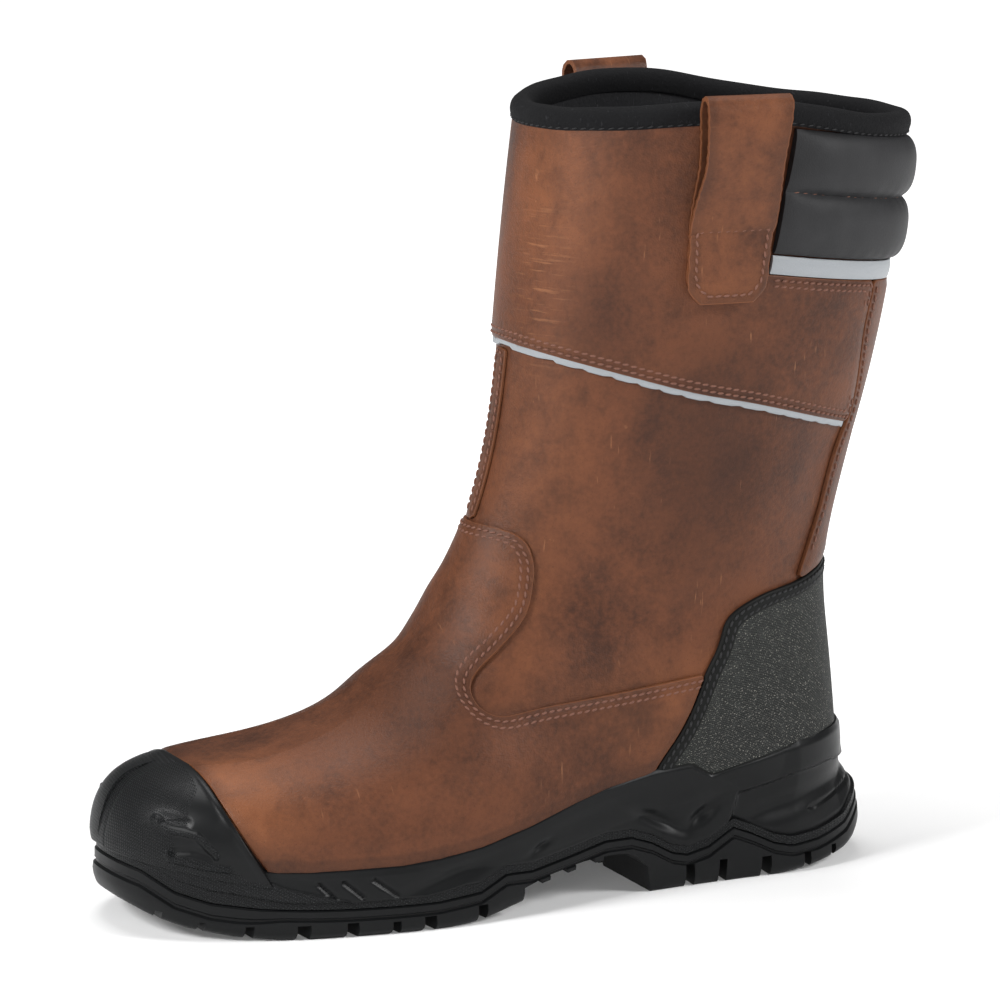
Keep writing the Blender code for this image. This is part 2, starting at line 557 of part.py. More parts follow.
def make_midsole():
    """Moulded cup: stepped strip, zigzag, scalloped side, heel band, rim, and the bed for the upper."""
    y = STATIONS
    step, top, joint = zigzag(y), sole_top(y), parting(y) + GAP
    side = top - step
    scoop = sum(depth * np.exp(-(((y - middle) / half) ** 2) * 2) for middle, half, depth in HOLLOWS)
    band = np.clip((y - HEEL_BAND_FROM) / 0.006, 0, 1)
    band_low = step + side * 0.70
    band_low = band_low + (top - HEEL_BAND_HEIGHT - band_low) * band
    flat = np.zeros_like(y)
    tuck = HEEL_TUCK * np.clip((y - TUCK_FROM) / TUCK_OVER, 0, 1)
    bed = floor_height(inside(TOE_END, HEEL_END)) - GAP
    levels = [
        sole_ring(joint, flat + STRIP_INSET),
        sole_ring(step - 0.0005, flat + STRIP_INSET),
        sole_ring(step + 0.0003, flat + STEP_INSET),
        sole_ring(step + side * 0.30, flat + STEP_INSET + scoop + tuck * 0.80),
        sole_ring(band_low - side * 0.07, flat + SIDE_INSET + scoop * 0.5 + HEEL_BAND_STEP * band + tuck),
        sole_ring(band_low, flat + SIDE_INSET + HEEL_BAND_LIP * band + tuck),
        sole_ring(top - 0.0012, flat + RIM_INSET - 0.0008 + tuck),
        sole_ring(top, flat + RIM_INSET + tuck),
        cup_ring(top, SOLE_CLEAR),
        cup_ring(bed + (top - bed) * 0.60, SOLE_CLEAR),
        cup_ring(bed + (top - bed) * 0.28, SOLE_CLEAR),
        cup_ring(bed, SOLE_CLEAR),
    ]
    return slab("midsole", np.array(levels), "black moulding")


def make_insole():
    """Flat insole between the walls of the upper."""
    low = floor_height(inside(TOE_END, HEEL_END))
    drawn_in = -(WALL + INSOLE_CLEAR)
    top = low + INSOLE_THICK
    levels = [cup_ring(low, drawn_in - 0.0006), cup_ring(low + 0.0010, drawn_in),
              cup_ring(top - 0.0008, drawn_in), cup_ring(top, drawn_in - 0.0008)]
    return slab("insole", np.array(levels), "insole felt")


def layer(name, finish_name, thick):
    """A closed wall over the whole upper, to be cut to an overlay's outline."""
    return hollow(name, OUTSIDE + OUTWARD * (GAP + thick), OUTSIDE + OUTWARD * GAP, finish_name)


def rim_of_cup(y):
    """Height of the sole's rim where it meets the upper, with clearance."""
    rim = cup_ring(sole_top(STATIONS), SOLE_CLEAR)[:len(STATIONS)]
    near = [np.interp(np.asarray(y) + step, rim[:, 1], rim[:, 2]) for step in (-RIM_WIDE, 0, RIM_WIDE)]
    return np.max(near, axis=0) + RIM_CLEAR


def sole_line(start, end):
    """Upper limit of the sole between two places, for overlays that stand on it."""
    rim = cup_ring(sole_top(STATIONS), SOLE_CLEAR)[:len(STATIONS), 1]
    low, high = min(start, end), max(start, end)
    y = np.concatenate([[low], rim[(rim > low + 0.001) & (rim < high - 0.001)], [high]])
    line = np.stack([y, rim_of_cup(y)], 1)
    return line if end > start else line[::-1]


def make_toe_cap():
    """Scuff cap over the toe, thickest where it meets the sole."""
    ahead = np.clip((CAP_FROM_Y - OUTSIDE[:, :, 1:2]) / CAP_OVER_Y, 0, 1)
    low = np.clip((CAP_FROM_Z - OUTSIDE[:, :, 2:3]) / CAP_OVER_Z, 0, 1)
    thick = CAP_REAR + (CAP_FRONT - CAP_REAR) * np.maximum(ahead, low * 0.6) * np.clip(low * 1.2, 0, 1)
    cap = layer("toe_cap", "black moulding", thick)
    edge = through(CAP_EDGE, 14)
    edge = edge[edge[:, 1] > rim_of_cup(edge[:, 0])]
    rest = sole_line(edge[-1, 0], -0.175)
    cut(cap, prism("cut toe cap", np.concatenate([edge, rest, [(-0.175, 0.072)]])), "INTERSECT")
    return cap


def shifted(line, dy=0.0, dz=0.0):
    """A side-view line moved along Y and Z."""
    return np.array(line, float) + (dy, dz)


def make_vamp():
    """Vamp with the low mudguard strip that runs back to the counter."""
    vamp = layer("vamp", "brown leather", LAYER)
    cap = shifted(through(CAP_EDGE, 14), GAP * 2)
    cap = cap[cap[:, 1] > rim_of_cup(cap[:, 0])]
    rear = shifted(through(COUNTER_EDGE, 16), -GAP * 2)
    rear = rear[(rear[:, 1] > rim_of_cup(rear[:, 0])) & (rear[:, 1] < 0.0810)]
    edge = through(VAMP_EDGE, 34)
    edge = edge[edge[:, 0] < rear[0, 0] - 0.001]
    bottom = sole_line(rear[-1, 0], cap[-1, 0])
    outline = np.concatenate([edge, rear, bottom, cap[::-1]])
    cut(vamp, prism("cut vamp", outline), "INTERSECT")
    return vamp


def make_counter():
    """Heel counter of coated fabric."""
    counter = layer("heel_counter", "coated fabric", LAYER)
    edge = through(COUNTER_EDGE, 22)
    edge = edge[edge[:, 1] > rim_of_cup(edge[:, 0])]
    bottom = sole_line(edge[-1, 0], 0.150)
    outline = np.concatenate([edge, bottom, [(0.165, bottom[-1, 1]), (0.165, edge[0, 1])]])
    cut(counter, prism("cut counter", outline), "INTERSECT")
    return counter


def rim_height(y):
    """Side-view height of the leather rim."""
    rim = OUTSIDE[-1, :COLUMNS + 1]
    return np.interp(y, rim[:, 1], rim[:, 2])


def falling(y, height):
    """A line of the pad, level with its height at PAD_FRONT and falling to the back."""
    return height + PAD_SLOPE * (np.asarray(y) - PAD_FRONT)


def pad_front(height):
    """Front edge of band and pad, at a height given at PAD_FRONT."""
    return PAD_FRONT + PAD_LEAN * (height - BAND_LOW)


def make_cuff():
    """Leather cuff: full height in front, cut down behind the loops for the band and the pad."""
    cuff = layer("cuff", "brown leather", LAYER)
    low = through(CUFF_EDGE, 12)
    low = low[low[:, 0] < BACK_STAY_EDGE[3][0] - 0.0012]
    stay = shifted(through(BACK_STAY_EDGE, 12), -GAP * 2)
    stay = stay[(stay[:, 1] > low[-1, 1] + 0.001) & (stay[:, 1] < falling(stay[:, 0], BAND_LOW) - GAP)][::-1]
    ledge = np.array([(0.1340, 0), (PAD_FRONT - GAP * 2, 0)])
    ledge[:, 1] = falling(ledge[:, 0], BAND_LOW) - GAP
    top = np.linspace(pad_front(PAD_ROWS[-1][0]) - GAP * 2, -0.030, 14)
    top = np.stack([top, rim_height(top) - CUFF_TOP], 1)
    outline = np.concatenate([low, stay, ledge, top])
    cut(cuff, prism("cut cuff", outline), "INTERSECT")
    return cuff


def make_piping():
    """Reflective piping under the edge of the cuff."""
    piping = layer("reflective_piping", "reflective silver", PIPING_THICK)
    line = through(CUFF_EDGE, 12)
    line = line[line[:, 0] < BACK_STAY_EDGE[3][0] - 0.0016]
    outline = np.concatenate([shifted(line, dz=-GAP), shifted(line, dz=-GAP - PIPING)[::-1]])
    cut(piping, prism("cut piping", outline), "INTERSECT")
    return piping


def make_back_stay():
    """Leather stay down the back seam, widening towards the counter."""
    stay = layer("back_stay", "brown leather", LAYER)
    edge = through(BACK_STAY_EDGE, 12)
    counter = through(COUNTER_EDGE, 40)
    floor = np.stack([np.linspace(0.1063, 0.170, 12)] * 2, 1)
    order = np.argsort(counter[:, 0])
    floor[:, 1] = np.interp(floor[:, 0], counter[order, 0], counter[order, 1]) + GAP * 2
    edge = edge[(edge[:, 1] > floor[0, 1] + 0.0005) & (edge[:, 1] < falling(edge[:, 0], BAND_LOW) - GAP)]
    top = [(y, float(falling(y, BAND_LOW)) - GAP) for y in (0.180, 0.1352)]
    cut(stay, prism("cut back stay", np.concatenate([edge, floor, top])), "INTERSECT")
    return stay


def make_front_stay():
    """Narrow stay down the shin, from the piping to the vamp."""
    stay = layer("front_stay", "brown leather", LAYER)
    cuff, vamp = through(CUFF_EDGE, 20), [(y, z + GAP * 3) for y, z in VAMP_EDGE[:4]]
    ahead, behind = FRONT_STAY_REACH
    top = [(y, float(np.interp(y, *cuff.T)) - PIPING - GAP * 3) for y in (behind, ahead)]
    outline = top + vamp + [(behind, vamp[-1][1])]
    cut(stay, prism("cut front stay", outline, reach=FRONT_STAY_SIDES), "INTERSECT")
    return stay


def wrapped(heights, columns=9):
    """Rows of points round the back of the leg, one for each height at PAD_FRONT."""
    out = []
    for height in heights:
        back_y = float(np.interp(height - 0.010, BACK_LINE[:, 1], BACK_LINE[:, 0]))
        for _ in range(4):
            back_y = float(np.interp(falling(back_y, height), BACK_LINE[:, 1], BACK_LINE[:, 0]))
        turn = np.linspace(0, math.pi / 2, columns + 1)
        y = pad_front(height) + (back_y - pad_front(height)) * np.sin(turn)
        z = falling(y, height)
        outer = np.stack([centre_x(y) + half_width(y, z, 1), y, z], 1)
        inner = np.stack([centre_x(y) - half_width(y, z, -1), y, z], 1)
        outer[-1, 0] = inner[-1, 0] = centre_x(back_y)
        out.append(np.concatenate([outer, inner[-2::-1]]))
    return np.array(out)


def make_band():
    """Reflective band round the back, under the pad."""
    rows = wrapped([BAND_LOW, BAND_HIGH])
    out = normals(rows, closed=False)
    return strap("reflective_band", rows + out * (2 * GAP + BAND_THICK), rows + out * 2 * GAP,
                 "reflective silver")


def make_pad():
    """Collar pad round the back, in two rolls with a sewn channel between them."""
    rows = wrapped([height for height, _ in PAD_ROWS])
    out = normals(rows, closed=False)
    thick = np.array([t for _, t in PAD_ROWS])[:, None, None]
    ends = np.minimum(np.arange(rows.shape[1]), np.arange(rows.shape[1])[::-1])
    fade = np.where(ends == 0, 0.55, 1.0)[None, :, None]
    return strap("collar_pad", rows + out * (2 * GAP + thick * fade), rows + out * 2 * GAP, "soft black")


def make_binding():
    """Turned-over binding on the rim, a closed hook section carried round the collar."""
    rim, below = OUTSIDE[-1], OUTSIDE[-2]
    up = rim - below
    up /= np.linalg.norm(up, axis=1, keepdims=True)
    out = OUTWARD[-1]
    loop = np.array([rim + out * away + up * height for away, height in BINDING])
    rows, columns = loop.shape[:2]
    faces = strips(rows, columns, True)
    last = (rows - 1) * columns
    for c in range(columns):
        d = (c + 1) % columns
        faces += [(last + c, last + d, d), (last + c, d, c)]
    return make("collar_binding", loop.reshape(-1, 3), faces, "suede binding")


def beside_leg(side, y, above_rim, away):
    """A point beside the leg: a height above the rim line, and a distance out from the leather."""
    middle_y = LOOP_Y[side] + above_rim * UP_LEG[0]
    z = float(rim_height(LOOP_Y[side])) + above_rim * UP_LEG[1]
    flat = np.clip((above_rim - LOOP_HOLE[0][0]) / (LOOP_HOLE[2][0] - LOOP_HOLE[0][0]), 0, 1)
    step = 0.004

    def on_leather(at):
        slope = float(half_width(at + step, z, side) - half_width(at - step, z, side)) / (2 * step)
        return float(half_width(at, z, side)), slope

    width, slope = on_leather(middle_y)
    own_width, own_slope = on_leather(middle_y + y)
    width = own_width + (width + slope * y - own_width) * flat
    slope = own_slope + (slope - own_slope) * flat
    out = np.array([1.0, -slope]) / math.hypot(1.0, slope)
    return (float(centre_x(middle_y)) + side * (width + away * out[0]), middle_y + y + away * out[1], z)


def make_pull_loop(name, side):
    """Folded strap: a ring section carried across its width, with the sewn patch below the gap."""
    low_side = [(h, low) for h, low, _ in LOOP_HOLE[1:-1]]
    high_side = [(h, high) for h, _, high in LOOP_HOLE[-2:0:-1]]
    crown = (LOOP_HOLE[-1][0], LOOP_HOLE[-1][1])
    gap = [LOOP_HOLE[0][:2]] + low_side + [crown] + high_side

    def lifted(h):
        return h + (LOOP_SHOULDER if h > LOOP_HOLE[-3][0] else 0)

    outline = [(LOOP_FOOT, LOOP_SEAT)] + [(lifted(h), low - LOOP_STRAP) for h, low in low_side]
    outline += [(crown[0] + LOOP_STRAP, crown[1])] + [(lifted(h), high + LOOP_STRAP) for h, high in high_side]
    outline += [(LOOP_FOOT, LOOP_SEAT + 2 * LOOP_STRAP)]

    def across(points, share):
        row = []
        for h, away in points:
            rise = np.clip((h - LOOP_FOOT) / (crown[0] - LOOP_FOOT), 0, 1)
            wide = LOOP_WIDE_LOW + (LOOP_WIDE_TOP - LOOP_WIDE_LOW) * rise
            row.append(beside_leg(side, share * wide, h, away))
        return row

    columns = 5
    shares = np.linspace(-0.5, 0.5, columns)
    verts = [p for share in shares for p in across(outline, share)]
    start = len(verts)
    verts += [p for share in shares for p in across(gap, share)]
    n_out, n_gap = len(outline), len(gap)
    faces = []
    for c in range(columns - 1):
        for i in range(n_out):
            a, b = c * n_out + i, c * n_out + (i + 1) % n_out
            faces.append((a, b, b + n_out, a + n_out))
        for i in range(n_gap):
            a, b = start + c * n_gap + i, start + c * n_gap + (i + 1) % n_gap
            faces.append((b, a, a + n_gap, b + n_gap))
    for c, front in ((0, True), (columns - 1, False)):
        ends = []
        for i in range(n_out - 1):
            a, g = c * n_out + i, start + c * n_gap
            ends.append((a, a + 1, g + (i + 1) % n_gap, g + i % n_gap))
        ends.append((c * n_out + n_out - 1, c * n_out, start + c * n_gap))
        faces += [face[::-1] for face in ends] if front else ends
    if side < 0:
        faces = [face[::-1] for face in faces]
    return make(name, verts, faces, "leather strap")


def clear_scene():
    for item in list(bpy.data.objects):
        bpy.data.objects.remove(item, do_unlink=True)


def stand_over_origin():
    """Hang every object on one empty and centre the boot over the origin, its tread on z = 0."""
    bpy.context.view_layer.update()
    seen = bpy.context.evaluated_depsgraph_get()
    pieces = [item for item in bpy.data.objects if item.type == "MESH"]
    points = []
    for piece in pieces:
        if not piece.hide_render:
            mesh = piece.evaluated_get(seen).to_mesh()
            points.append(np.array([v.co[:] for v in mesh.vertices]))
            piece.evaluated_get(seen).to_mesh_clear()
    points = np.concatenate(points)
    middle = (points.min(0) + points.max(0)) / 2
    boot = bpy.data.objects.new("boot", None)
    bpy.context.scene.collection.objects.link(boot)
    for piece in pieces:
        piece.parent = boot
    boot.location = (-middle[0], -middle[1], 0.0)


clear_scene()
OUTSIDE = skin()
OUTWARD = normals(OUTSIDE)
make_outsole()
make_midsole()
make_insole()
hollow("upper", OUTSIDE, OUTSIDE - OUTWARD * WALL, "brown leather")
make_toe_cap()
make_vamp()
make_counter()
make_cuff()
make_piping()
make_back_stay()
make_front_stay()
make_band()
make_pad()
make_binding()
make_pull_loop("pull_loop_lateral", 1)
make_pull_loop("pull_loop_medial", -1)
stand_over_origin()
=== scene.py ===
"""Looks of a rigger boot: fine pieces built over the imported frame, in metres and in its axes.

The toe points to -Y, the heel to +Y, and the outer side is +X. Every leather piece is cut from
one surface, the outside of the upper, by outlines drawn in the side view.
"""
import math

import bpy
import numpy as np
from bpy.props import FloatProperty, FloatVectorProperty, PointerProperty
from mathutils import Matrix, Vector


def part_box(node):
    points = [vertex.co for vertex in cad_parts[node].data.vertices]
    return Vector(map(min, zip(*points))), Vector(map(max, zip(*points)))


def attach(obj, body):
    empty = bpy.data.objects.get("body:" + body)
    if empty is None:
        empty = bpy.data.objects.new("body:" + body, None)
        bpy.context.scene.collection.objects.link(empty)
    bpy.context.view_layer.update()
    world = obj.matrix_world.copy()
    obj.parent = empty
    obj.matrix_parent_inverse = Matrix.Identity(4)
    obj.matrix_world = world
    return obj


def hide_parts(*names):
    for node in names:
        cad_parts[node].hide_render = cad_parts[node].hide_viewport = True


bl_info = {
    "name": "Rigger boot",
    "version": (1, 0, 0),
    "blender": (4, 5, 0),
    "location": "View3D > Sidebar > Boot",
    "description": "Builds the leather, sole, stitching and stage of a rigger boot",
    "category": "Object",
}

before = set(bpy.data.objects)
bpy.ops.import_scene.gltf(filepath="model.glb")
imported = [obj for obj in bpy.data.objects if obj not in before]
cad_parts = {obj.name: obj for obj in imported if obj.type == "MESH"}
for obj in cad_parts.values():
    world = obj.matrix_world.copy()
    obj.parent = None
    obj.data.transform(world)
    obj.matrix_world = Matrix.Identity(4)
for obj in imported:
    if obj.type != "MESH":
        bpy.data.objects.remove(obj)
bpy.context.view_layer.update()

# The last and its leg, as the frame was built
WALL, GAP = 0.0022, 0.0003
SOLE_CLEAR, RIM_WIDE = 0.0007, 0.0026
DRAW_FRONT, DRAW_BACK = -0.100, 0.095
TOE_END, HEEL_END = -0.1530, 0.1360
TOE_NOSE, HEEL_NOSE = (0.066, 2.25), (0.046, 2.1)
FEATHER_INSET = 0.0045
PIVOT_Y, PIVOT_Z = -0.075, 0.180
LEAN = math.radians(4.0)
FAN = 0.120
TURN = math.pi / 2 - LEAN
UP_LEG = np.array([math.sin(LEAN), math.cos(LEAN)])
ACROSS_LEG = np.array([math.cos(LEAN), -math.sin(LEAN)])
FRONT = [(-0.1530, 0.0260), (-0.1526, 0.0370), (-0.1475, 0.0495), (-0.1310, 0.0567), (-0.1080, 0.0600),
         (-0.0800, 0.0650), (-0.0630, 0.0715), (-0.0480, 0.0825), (-0.0350, 0.0960), (-0.0225, 0.1145),
         (-0.0115, 0.1380), (-0.0025, 0.1680), (0.0035, 0.2130), (0.0083, 0.2550), (0.0130, 0.2915)]
BACK = [(0.1360, 0.0340), (0.1345, 0.0535), (0.1318, 0.0820), (0.1298, 0.1100), (0.1348, 0.1400),
        (0.1425, 0.1700), (0.1548, 0.2250), (0.1608, 0.2825)]
FLOOR = [(-0.150, 0.030), (-0.100, 0.020), (-0.050, 0.018), (0.000, 0.022), (0.050, 0.030),
         (0.100, 0.034), (0.146, 0.034)]
NOSE_BLEND = 0.0020                         # half width of the strip whose normals face straight ahead
RIM_RISE = [(0.00, -0.0015), (0.25, 0.0040), (0.50, 0.0060), (0.75, 0.0012), (1.00, -0.0005)]
SECTIONS = [
    # station, outer side, inner side, height of widest point, top curve, side curve
    (-0.075, 0.0480, 0.0430, 0.66, 2.20, 2.20),
    (-0.035, 0.0500, 0.0470, 0.66, 2.15, 2.20),
    (0.000, 0.0520, 0.0500, 0.70, 2.00, 2.20),
    (0.024, 0.0525, 0.0500, 0.72, 1.95, 2.20),
    (0.049, 0.0462, 0.0432, 0.66, 2.00, 2.20),
    (0.073, 0.0430, 0.0410, 0.58, 2.00, 2.20),
    (0.098, 0.0435, 0.0420, 0.50, 2.00, 2.10),
    (0.122, 0.0480, 0.0470, 0.50, 2.05, 2.10),
    (0.170, 0.0520, 0.0510, 0.50, 2.10, 2.15),
    (0.236, 0.0550, 0.0540, 0.50, 2.10, 2.20),
]
FRAME_RINGS, FRAME_COLUMNS, RING_CROWD, BACK_LAG = 18, 15, 1.35, 1.5

# The sole
SOLE_TOE, SOLE_HEEL = -0.1580, 0.1470
SOLE_TOE_NOSE, SOLE_HEEL_NOSE = (0.070, 2.25), (0.050, 2.15)
SOLE_PLAN = [
    # y, outer side, inner side
    (-0.156, 0.0500, 0.0430), (-0.115, 0.0520, 0.0490), (-0.062, 0.0565, 0.0540), (-0.020, 0.0540, 0.0470),
    (0.030, 0.0455, 0.0375), (0.085, 0.0425, 0.0395), (0.146, 0.0425, 0.0415),
]
CENTRE_LINE = [(-0.156, -0.0070), (-0.110, -0.0045), (-0.050, 0.0), (0.030, 0.0), (0.120, 0.0)]
TREAD = [(-0.158, 0.0118), (-0.150, 0.0078), (-0.140, 0.0045), (-0.125, 0.0018), (-0.110, 0.0003),
         (-0.102, 0.0), (-0.045, 0.0), (-0.033, 0.0010), (-0.015, 0.0055), (0.000, 0.0055), (0.034, 0.0),
         (0.098, 0.0), (0.112, 0.0014), (0.128, 0.0038), (0.138, 0.0060), (0.147, 0.0095)]
ZIGZAG = [(-0.158, 0.0310), (-0.152, 0.0290), (-0.143, 0.0225), (-0.132, 0.0190), (-0.115, 0.0168),
          (-0.098, 0.0158), (-0.082, 0.0152), (-0.065, 0.0150), (-0.050, 0.0150), (-0.033, 0.0158),
          (-0.0225, 0.0205), (-0.011, 0.0200), (0.008, 0.0232), (0.022, 0.0259), (0.0335, 0.0256),
          (0.0425, 0.0224), (0.0515, 0.0173), (0.058, 0.0158), (0.067, 0.0178), (0.0775, 0.0240),
          (0.086, 0.0205), (0.095, 0.0160), (0.103, 0.0140), (0.115, 0.0150), (0.131, 0.0185),
          (0.139, 0.0235), (0.147, 0.0265)]
STRIP_FORE, STRIP_REST = 0.0050, 0.0036
FLARE_AHEAD, FLARE_BEHIND = (-0.120, -0.105), (0.118, 0.105)    # where the sole widens to the upper
FLARE_RIM, FLARE_WALL = RIM_WIDE + 0.0008, 0.0010
SOLE_TOP = [(-0.158, 0.0330), (-0.146, 0.0318), (-0.132, 0.0285), (-0.112, 0.0262), (-0.098, 0.0256),
            (-0.065, 0.0255), (-0.050, 0.0268), (-0.033, 0.0293), (-0.011, 0.0348), (0.008, 0.0405),
            (0.022, 0.0440), (0.0425, 0.0474), (0.058, 0.0485), (0.067, 0.0430), (0.086, 0.0468),
            (0.106, 0.0508), (0.126, 0.0517), (0.147, 0.0512)]
HEEL_TUCK, TUCK_FROM, TUCK_OVER = 0.0058, 0.106, 0.034   # the cup leans in behind the heel
BREAST_Y, BREAST_LEAN = 0.0400, 0.0045
SHANK_ARCH = [(-0.0150, 0.0110), (-0.0080, 0.0130), (0.0040, 0.0152), (0.0140, 0.0168), (0.0240, 0.0172),
              (0.0330, 0.0158), (BREAST_Y, 0.0105)]
SHANK_NUBS = [-0.0055, 0.0060, 0.0185]
NUB_HALF, NUB_SLOPE, NUB_HEIGHT = 0.0018, 0.0004, 0.0016
GROOVES = [
    # y at the edge, how far ahead the middle lies, width, depth
    (-0.1470, 0.000, 0.0028, 0.0034), (-0.1330, 0.003, 0.0030, 0.0040), (-0.1170, 0.005, 0.0038, 0.0048),
    (-0.0980, 0.007, 0.0056, 0.0056), (-0.0800, 0.009, 0.0052, 0.0056), (-0.0640, 0.009, 0.0040, 0.0048),
    (-0.0512, 0.009, 0.0056, 0.0056), (-0.0303, 0.008, 0.0048, 0.0056),
    (0.0560, -0.006, 0.0046, 0.0085), (0.0700, -0.006, 0.0042, 0.0090), (0.0885, -0.006, 0.0050, 0.0080),
    (0.1075, -0.004, 0.0040, 0.0062), (0.1215, -0.002, 0.0034, 0.0052),
]
CHANNELS = [
    # x, from y, to y, width, depth
    (0.0190, -0.1300, -0.0050, 0.0044, 0.0042),
    (-0.0190, -0.1300, -0.0050, 0.0044, 0.0042),
    (0.0000, 0.0300, 0.1280, 0.0050, 0.0050),
]
SIDE_HOLLOWS = [
    # y, z, half length, half width, rise in degrees, depth of a hollow in the side of the midsole
    (-0.0455, 0.0192, 0.0160, 0.0030, 16, 0.0018), (-0.0076, 0.0254, 0.0046, 0.0013, 26, 0.0012),
    (0.0455, 0.0275, 0.0120, 0.0026, -27, 0.0026), (0.0640, 0.0270, 0.0065, 0.0026, 33, 0.0024),
    (0.0990, 0.0262, 0.0170, 0.0048, 9, 0.0024), (0.0150, 0.0335, 0.0260, 0.0042, 14, 0.0008),
    (0.0590, 0.0345, 0.0150, 0.0040, 20, -0.0006), (0.1250, 0.0310, 0.0180, 0.0026, 6, 0.0010),
]
SLASHES = [
    # y, z of the upper end, y, z of the lower end of a groove above the forefoot strip
    (-0.0950, 0.0204, -0.0895, 0.0150), (-0.0860, 0.0206, -0.0790, 0.0146),
    (-0.0750, 0.0208, -0.0660, 0.0142),
]
HEEL_LINE = [(0.067, 0.0336), (0.0829, 0.0339), (0.1060, 0.0387), (0.1245, 0.0398), (0.147, 0.0366)]
NOTCH_Y, NOTCH_Z = 0.0800, 0.0348           # where the heel band starts behind the arch
PEBBLED = [
    # z, y behind which the moulding is smooth
    (0.0120, -0.0300), (0.0130, -0.0840), (0.0180, -0.1020), (0.0205, -0.1100), (0.0219, -0.1126),
    (0.0230, -0.1183), (0.0261, -0.1220), (0.0283, -0.1243), (0.0290, -0.1310), (0.0303, -0.1380),
    (0.0312, -0.1406), (0.0345, -0.1414), (0.0400, -0.1420), (0.0425, -0.1434), (0.0432, -0.1400),
    (0.0436, -0.1362), (0.0452, -0.1369), (0.0472, -0.1362), (0.0504, -0.1336), (0.0540, -0.1303),
    (0.0562, -0.1297), (0.0620, -0.1290),
]
CAP_RELIEF = [
    # ridges and slots of the toe cap: side-view line, half width, height
    ([(-0.1436, 0.0428), (-0.1433, 0.0414), (-0.1412, 0.0403), (-0.1374, 0.0398), (-0.1340, 0.0391),
      (-0.1310, 0.0358), (-0.1284, 0.0325)], 0.0016, 0.0014),
    ([(-0.1412, 0.0329), (-0.1406, 0.0311), (-0.1374, 0.0304), (-0.1319, 0.0292), (-0.1243, 0.0283)],
     0.0015, 0.0013),
    ([(-0.1421, 0.0437), (-0.1394, 0.0434), (-0.1366, 0.0428)], 0.0024, -0.0005),
    ([(-0.1398, 0.0338), (-0.1354, 0.0341), (-0.1295, 0.0325)], 0.0022, -0.0008),
]
PEBBLE_END = -0.060                         # the midsole is smooth behind it
PARTING_X = -0.0017                         # the cap's fine mould line
DOTS = 5800.0                               # turns the pebbles' places into phases

# Seams in the side view, (y, z)
CAP_EDGE = [(-0.1350, 0.0720), (-0.1310, 0.0626), (-0.1275, 0.0566), (-0.1262, 0.0513), (-0.1221, 0.0413),
            (-0.1164, 0.0318), (-0.1085, 0.0200)]
VAMP_EDGE = [(-0.0300, 0.1390), (-0.0150, 0.1381), (-0.0057, 0.1372), (-0.0009, 0.1349), (0.0020, 0.1285),
             (0.0001, 0.1164), (-0.0032, 0.1084), (-0.0099, 0.1006), (-0.0171, 0.0941), (-0.0242, 0.0882),
             (-0.0275, 0.0835), (-0.0272, 0.0780), (-0.0216, 0.0738), (-0.0128, 0.0741), (0.0132, 0.0768),
             (0.0377, 0.0788), (0.0700, 0.0821)]
COUNTER_EDGE = [(0.1450, 0.1192), (0.1251, 0.1152), (0.1066, 0.1113), (0.0911, 0.1094), (0.0801, 0.1060),
                (0.0731, 0.1011), (0.0699, 0.0925), (0.0650, 0.0830), (0.0597, 0.0714), (0.0523, 0.0589),
                (0.0448, 0.0495), (0.0400, 0.0420)]
CUFF_EDGE = [(-0.0400, 0.2215), (-0.0037, 0.2071), (0.0155, 0.2012), (0.0339, 0.1958), (0.0551, 0.1895),
             (0.0788, 0.1842), (0.1063, 0.1765), (0.1320, 0.1690)]
PIPING, PIPING_THICK = 0.0022, 0.0015
BACK_STAY_EDGE = [(0.1350, 0.2330), (0.1348, 0.2199), (0.1323, 0.2102), (0.1288, 0.1714), (0.1245, 0.1617),
                  (0.1187, 0.1395), (0.1127, 0.1245), (0.1063, 0.1120)]
FRONT_STAY_MIDDLE, FRONT_STAY_HALF, FRONT_STAY_DEEP = -0.0025, 0.0045, 0.012
BACK_STAY_FOOT, BACK_STAY_TOP = 0.1063, 0.1352
COUNTER_FOOT, COUNTER_TOP = 0.0400, 0.1260
STRIP_TOP = 0.0812                          # top of the vamp's low strip where it meets the counter
CUFF_AHEAD, CUFF_START, CUFF_LEDGE = -0.060, 0.229, 0.1340
CAP_HIGH = 0.090
FAR_TOE, FAR_HEEL, FAR_UP = -0.190, 0.190, 0.320    # clear of the boot, where outlines close
PAD_FRONT, PAD_SLOPE, PAD_LEAN = 0.0838, -0.150, 0.165
BAND_LOW, BAND_HIGH, BAND_THICK = 0.2323, 0.2393, 0.0016
PAD_LOW, PAD_SEAM, PAD_TOP = 0.2400, 0.2636, 0.2858
PAD_ROLLS = (0.0046, 0.0050)                # how far the lower and the upper roll stand out
WRAP = 70                                   # columns on each side of a strip round the leg
CAP_REAR, CAP_FRONT = 0.0022, 0.0052
BINDING = [(0.0024, -0.0056), (0.0034, -0.0024), (0.0022, 0.0018), (-0.0010, 0.0030), (-0.0042, 0.0018),
           (-0.0054, -0.0024), (-0.0044, -0.0056), (-0.0026, -0.0056), (-0.0026, 0.0004),
           (0.0004, 0.0004), (0.0004, -0.0056)]
PAD_UNDER = 0.0010                          # how far the pad's cover runs up to the binding
LOOP_Y = {1: 0.0705, -1: 0.0745}            # middles of the outer and the inner loop
LOOP_WIDE_TOP, LOOP_WIDE_LOW, LOOP_STRAP = 0.0312, 0.0290, 0.0016
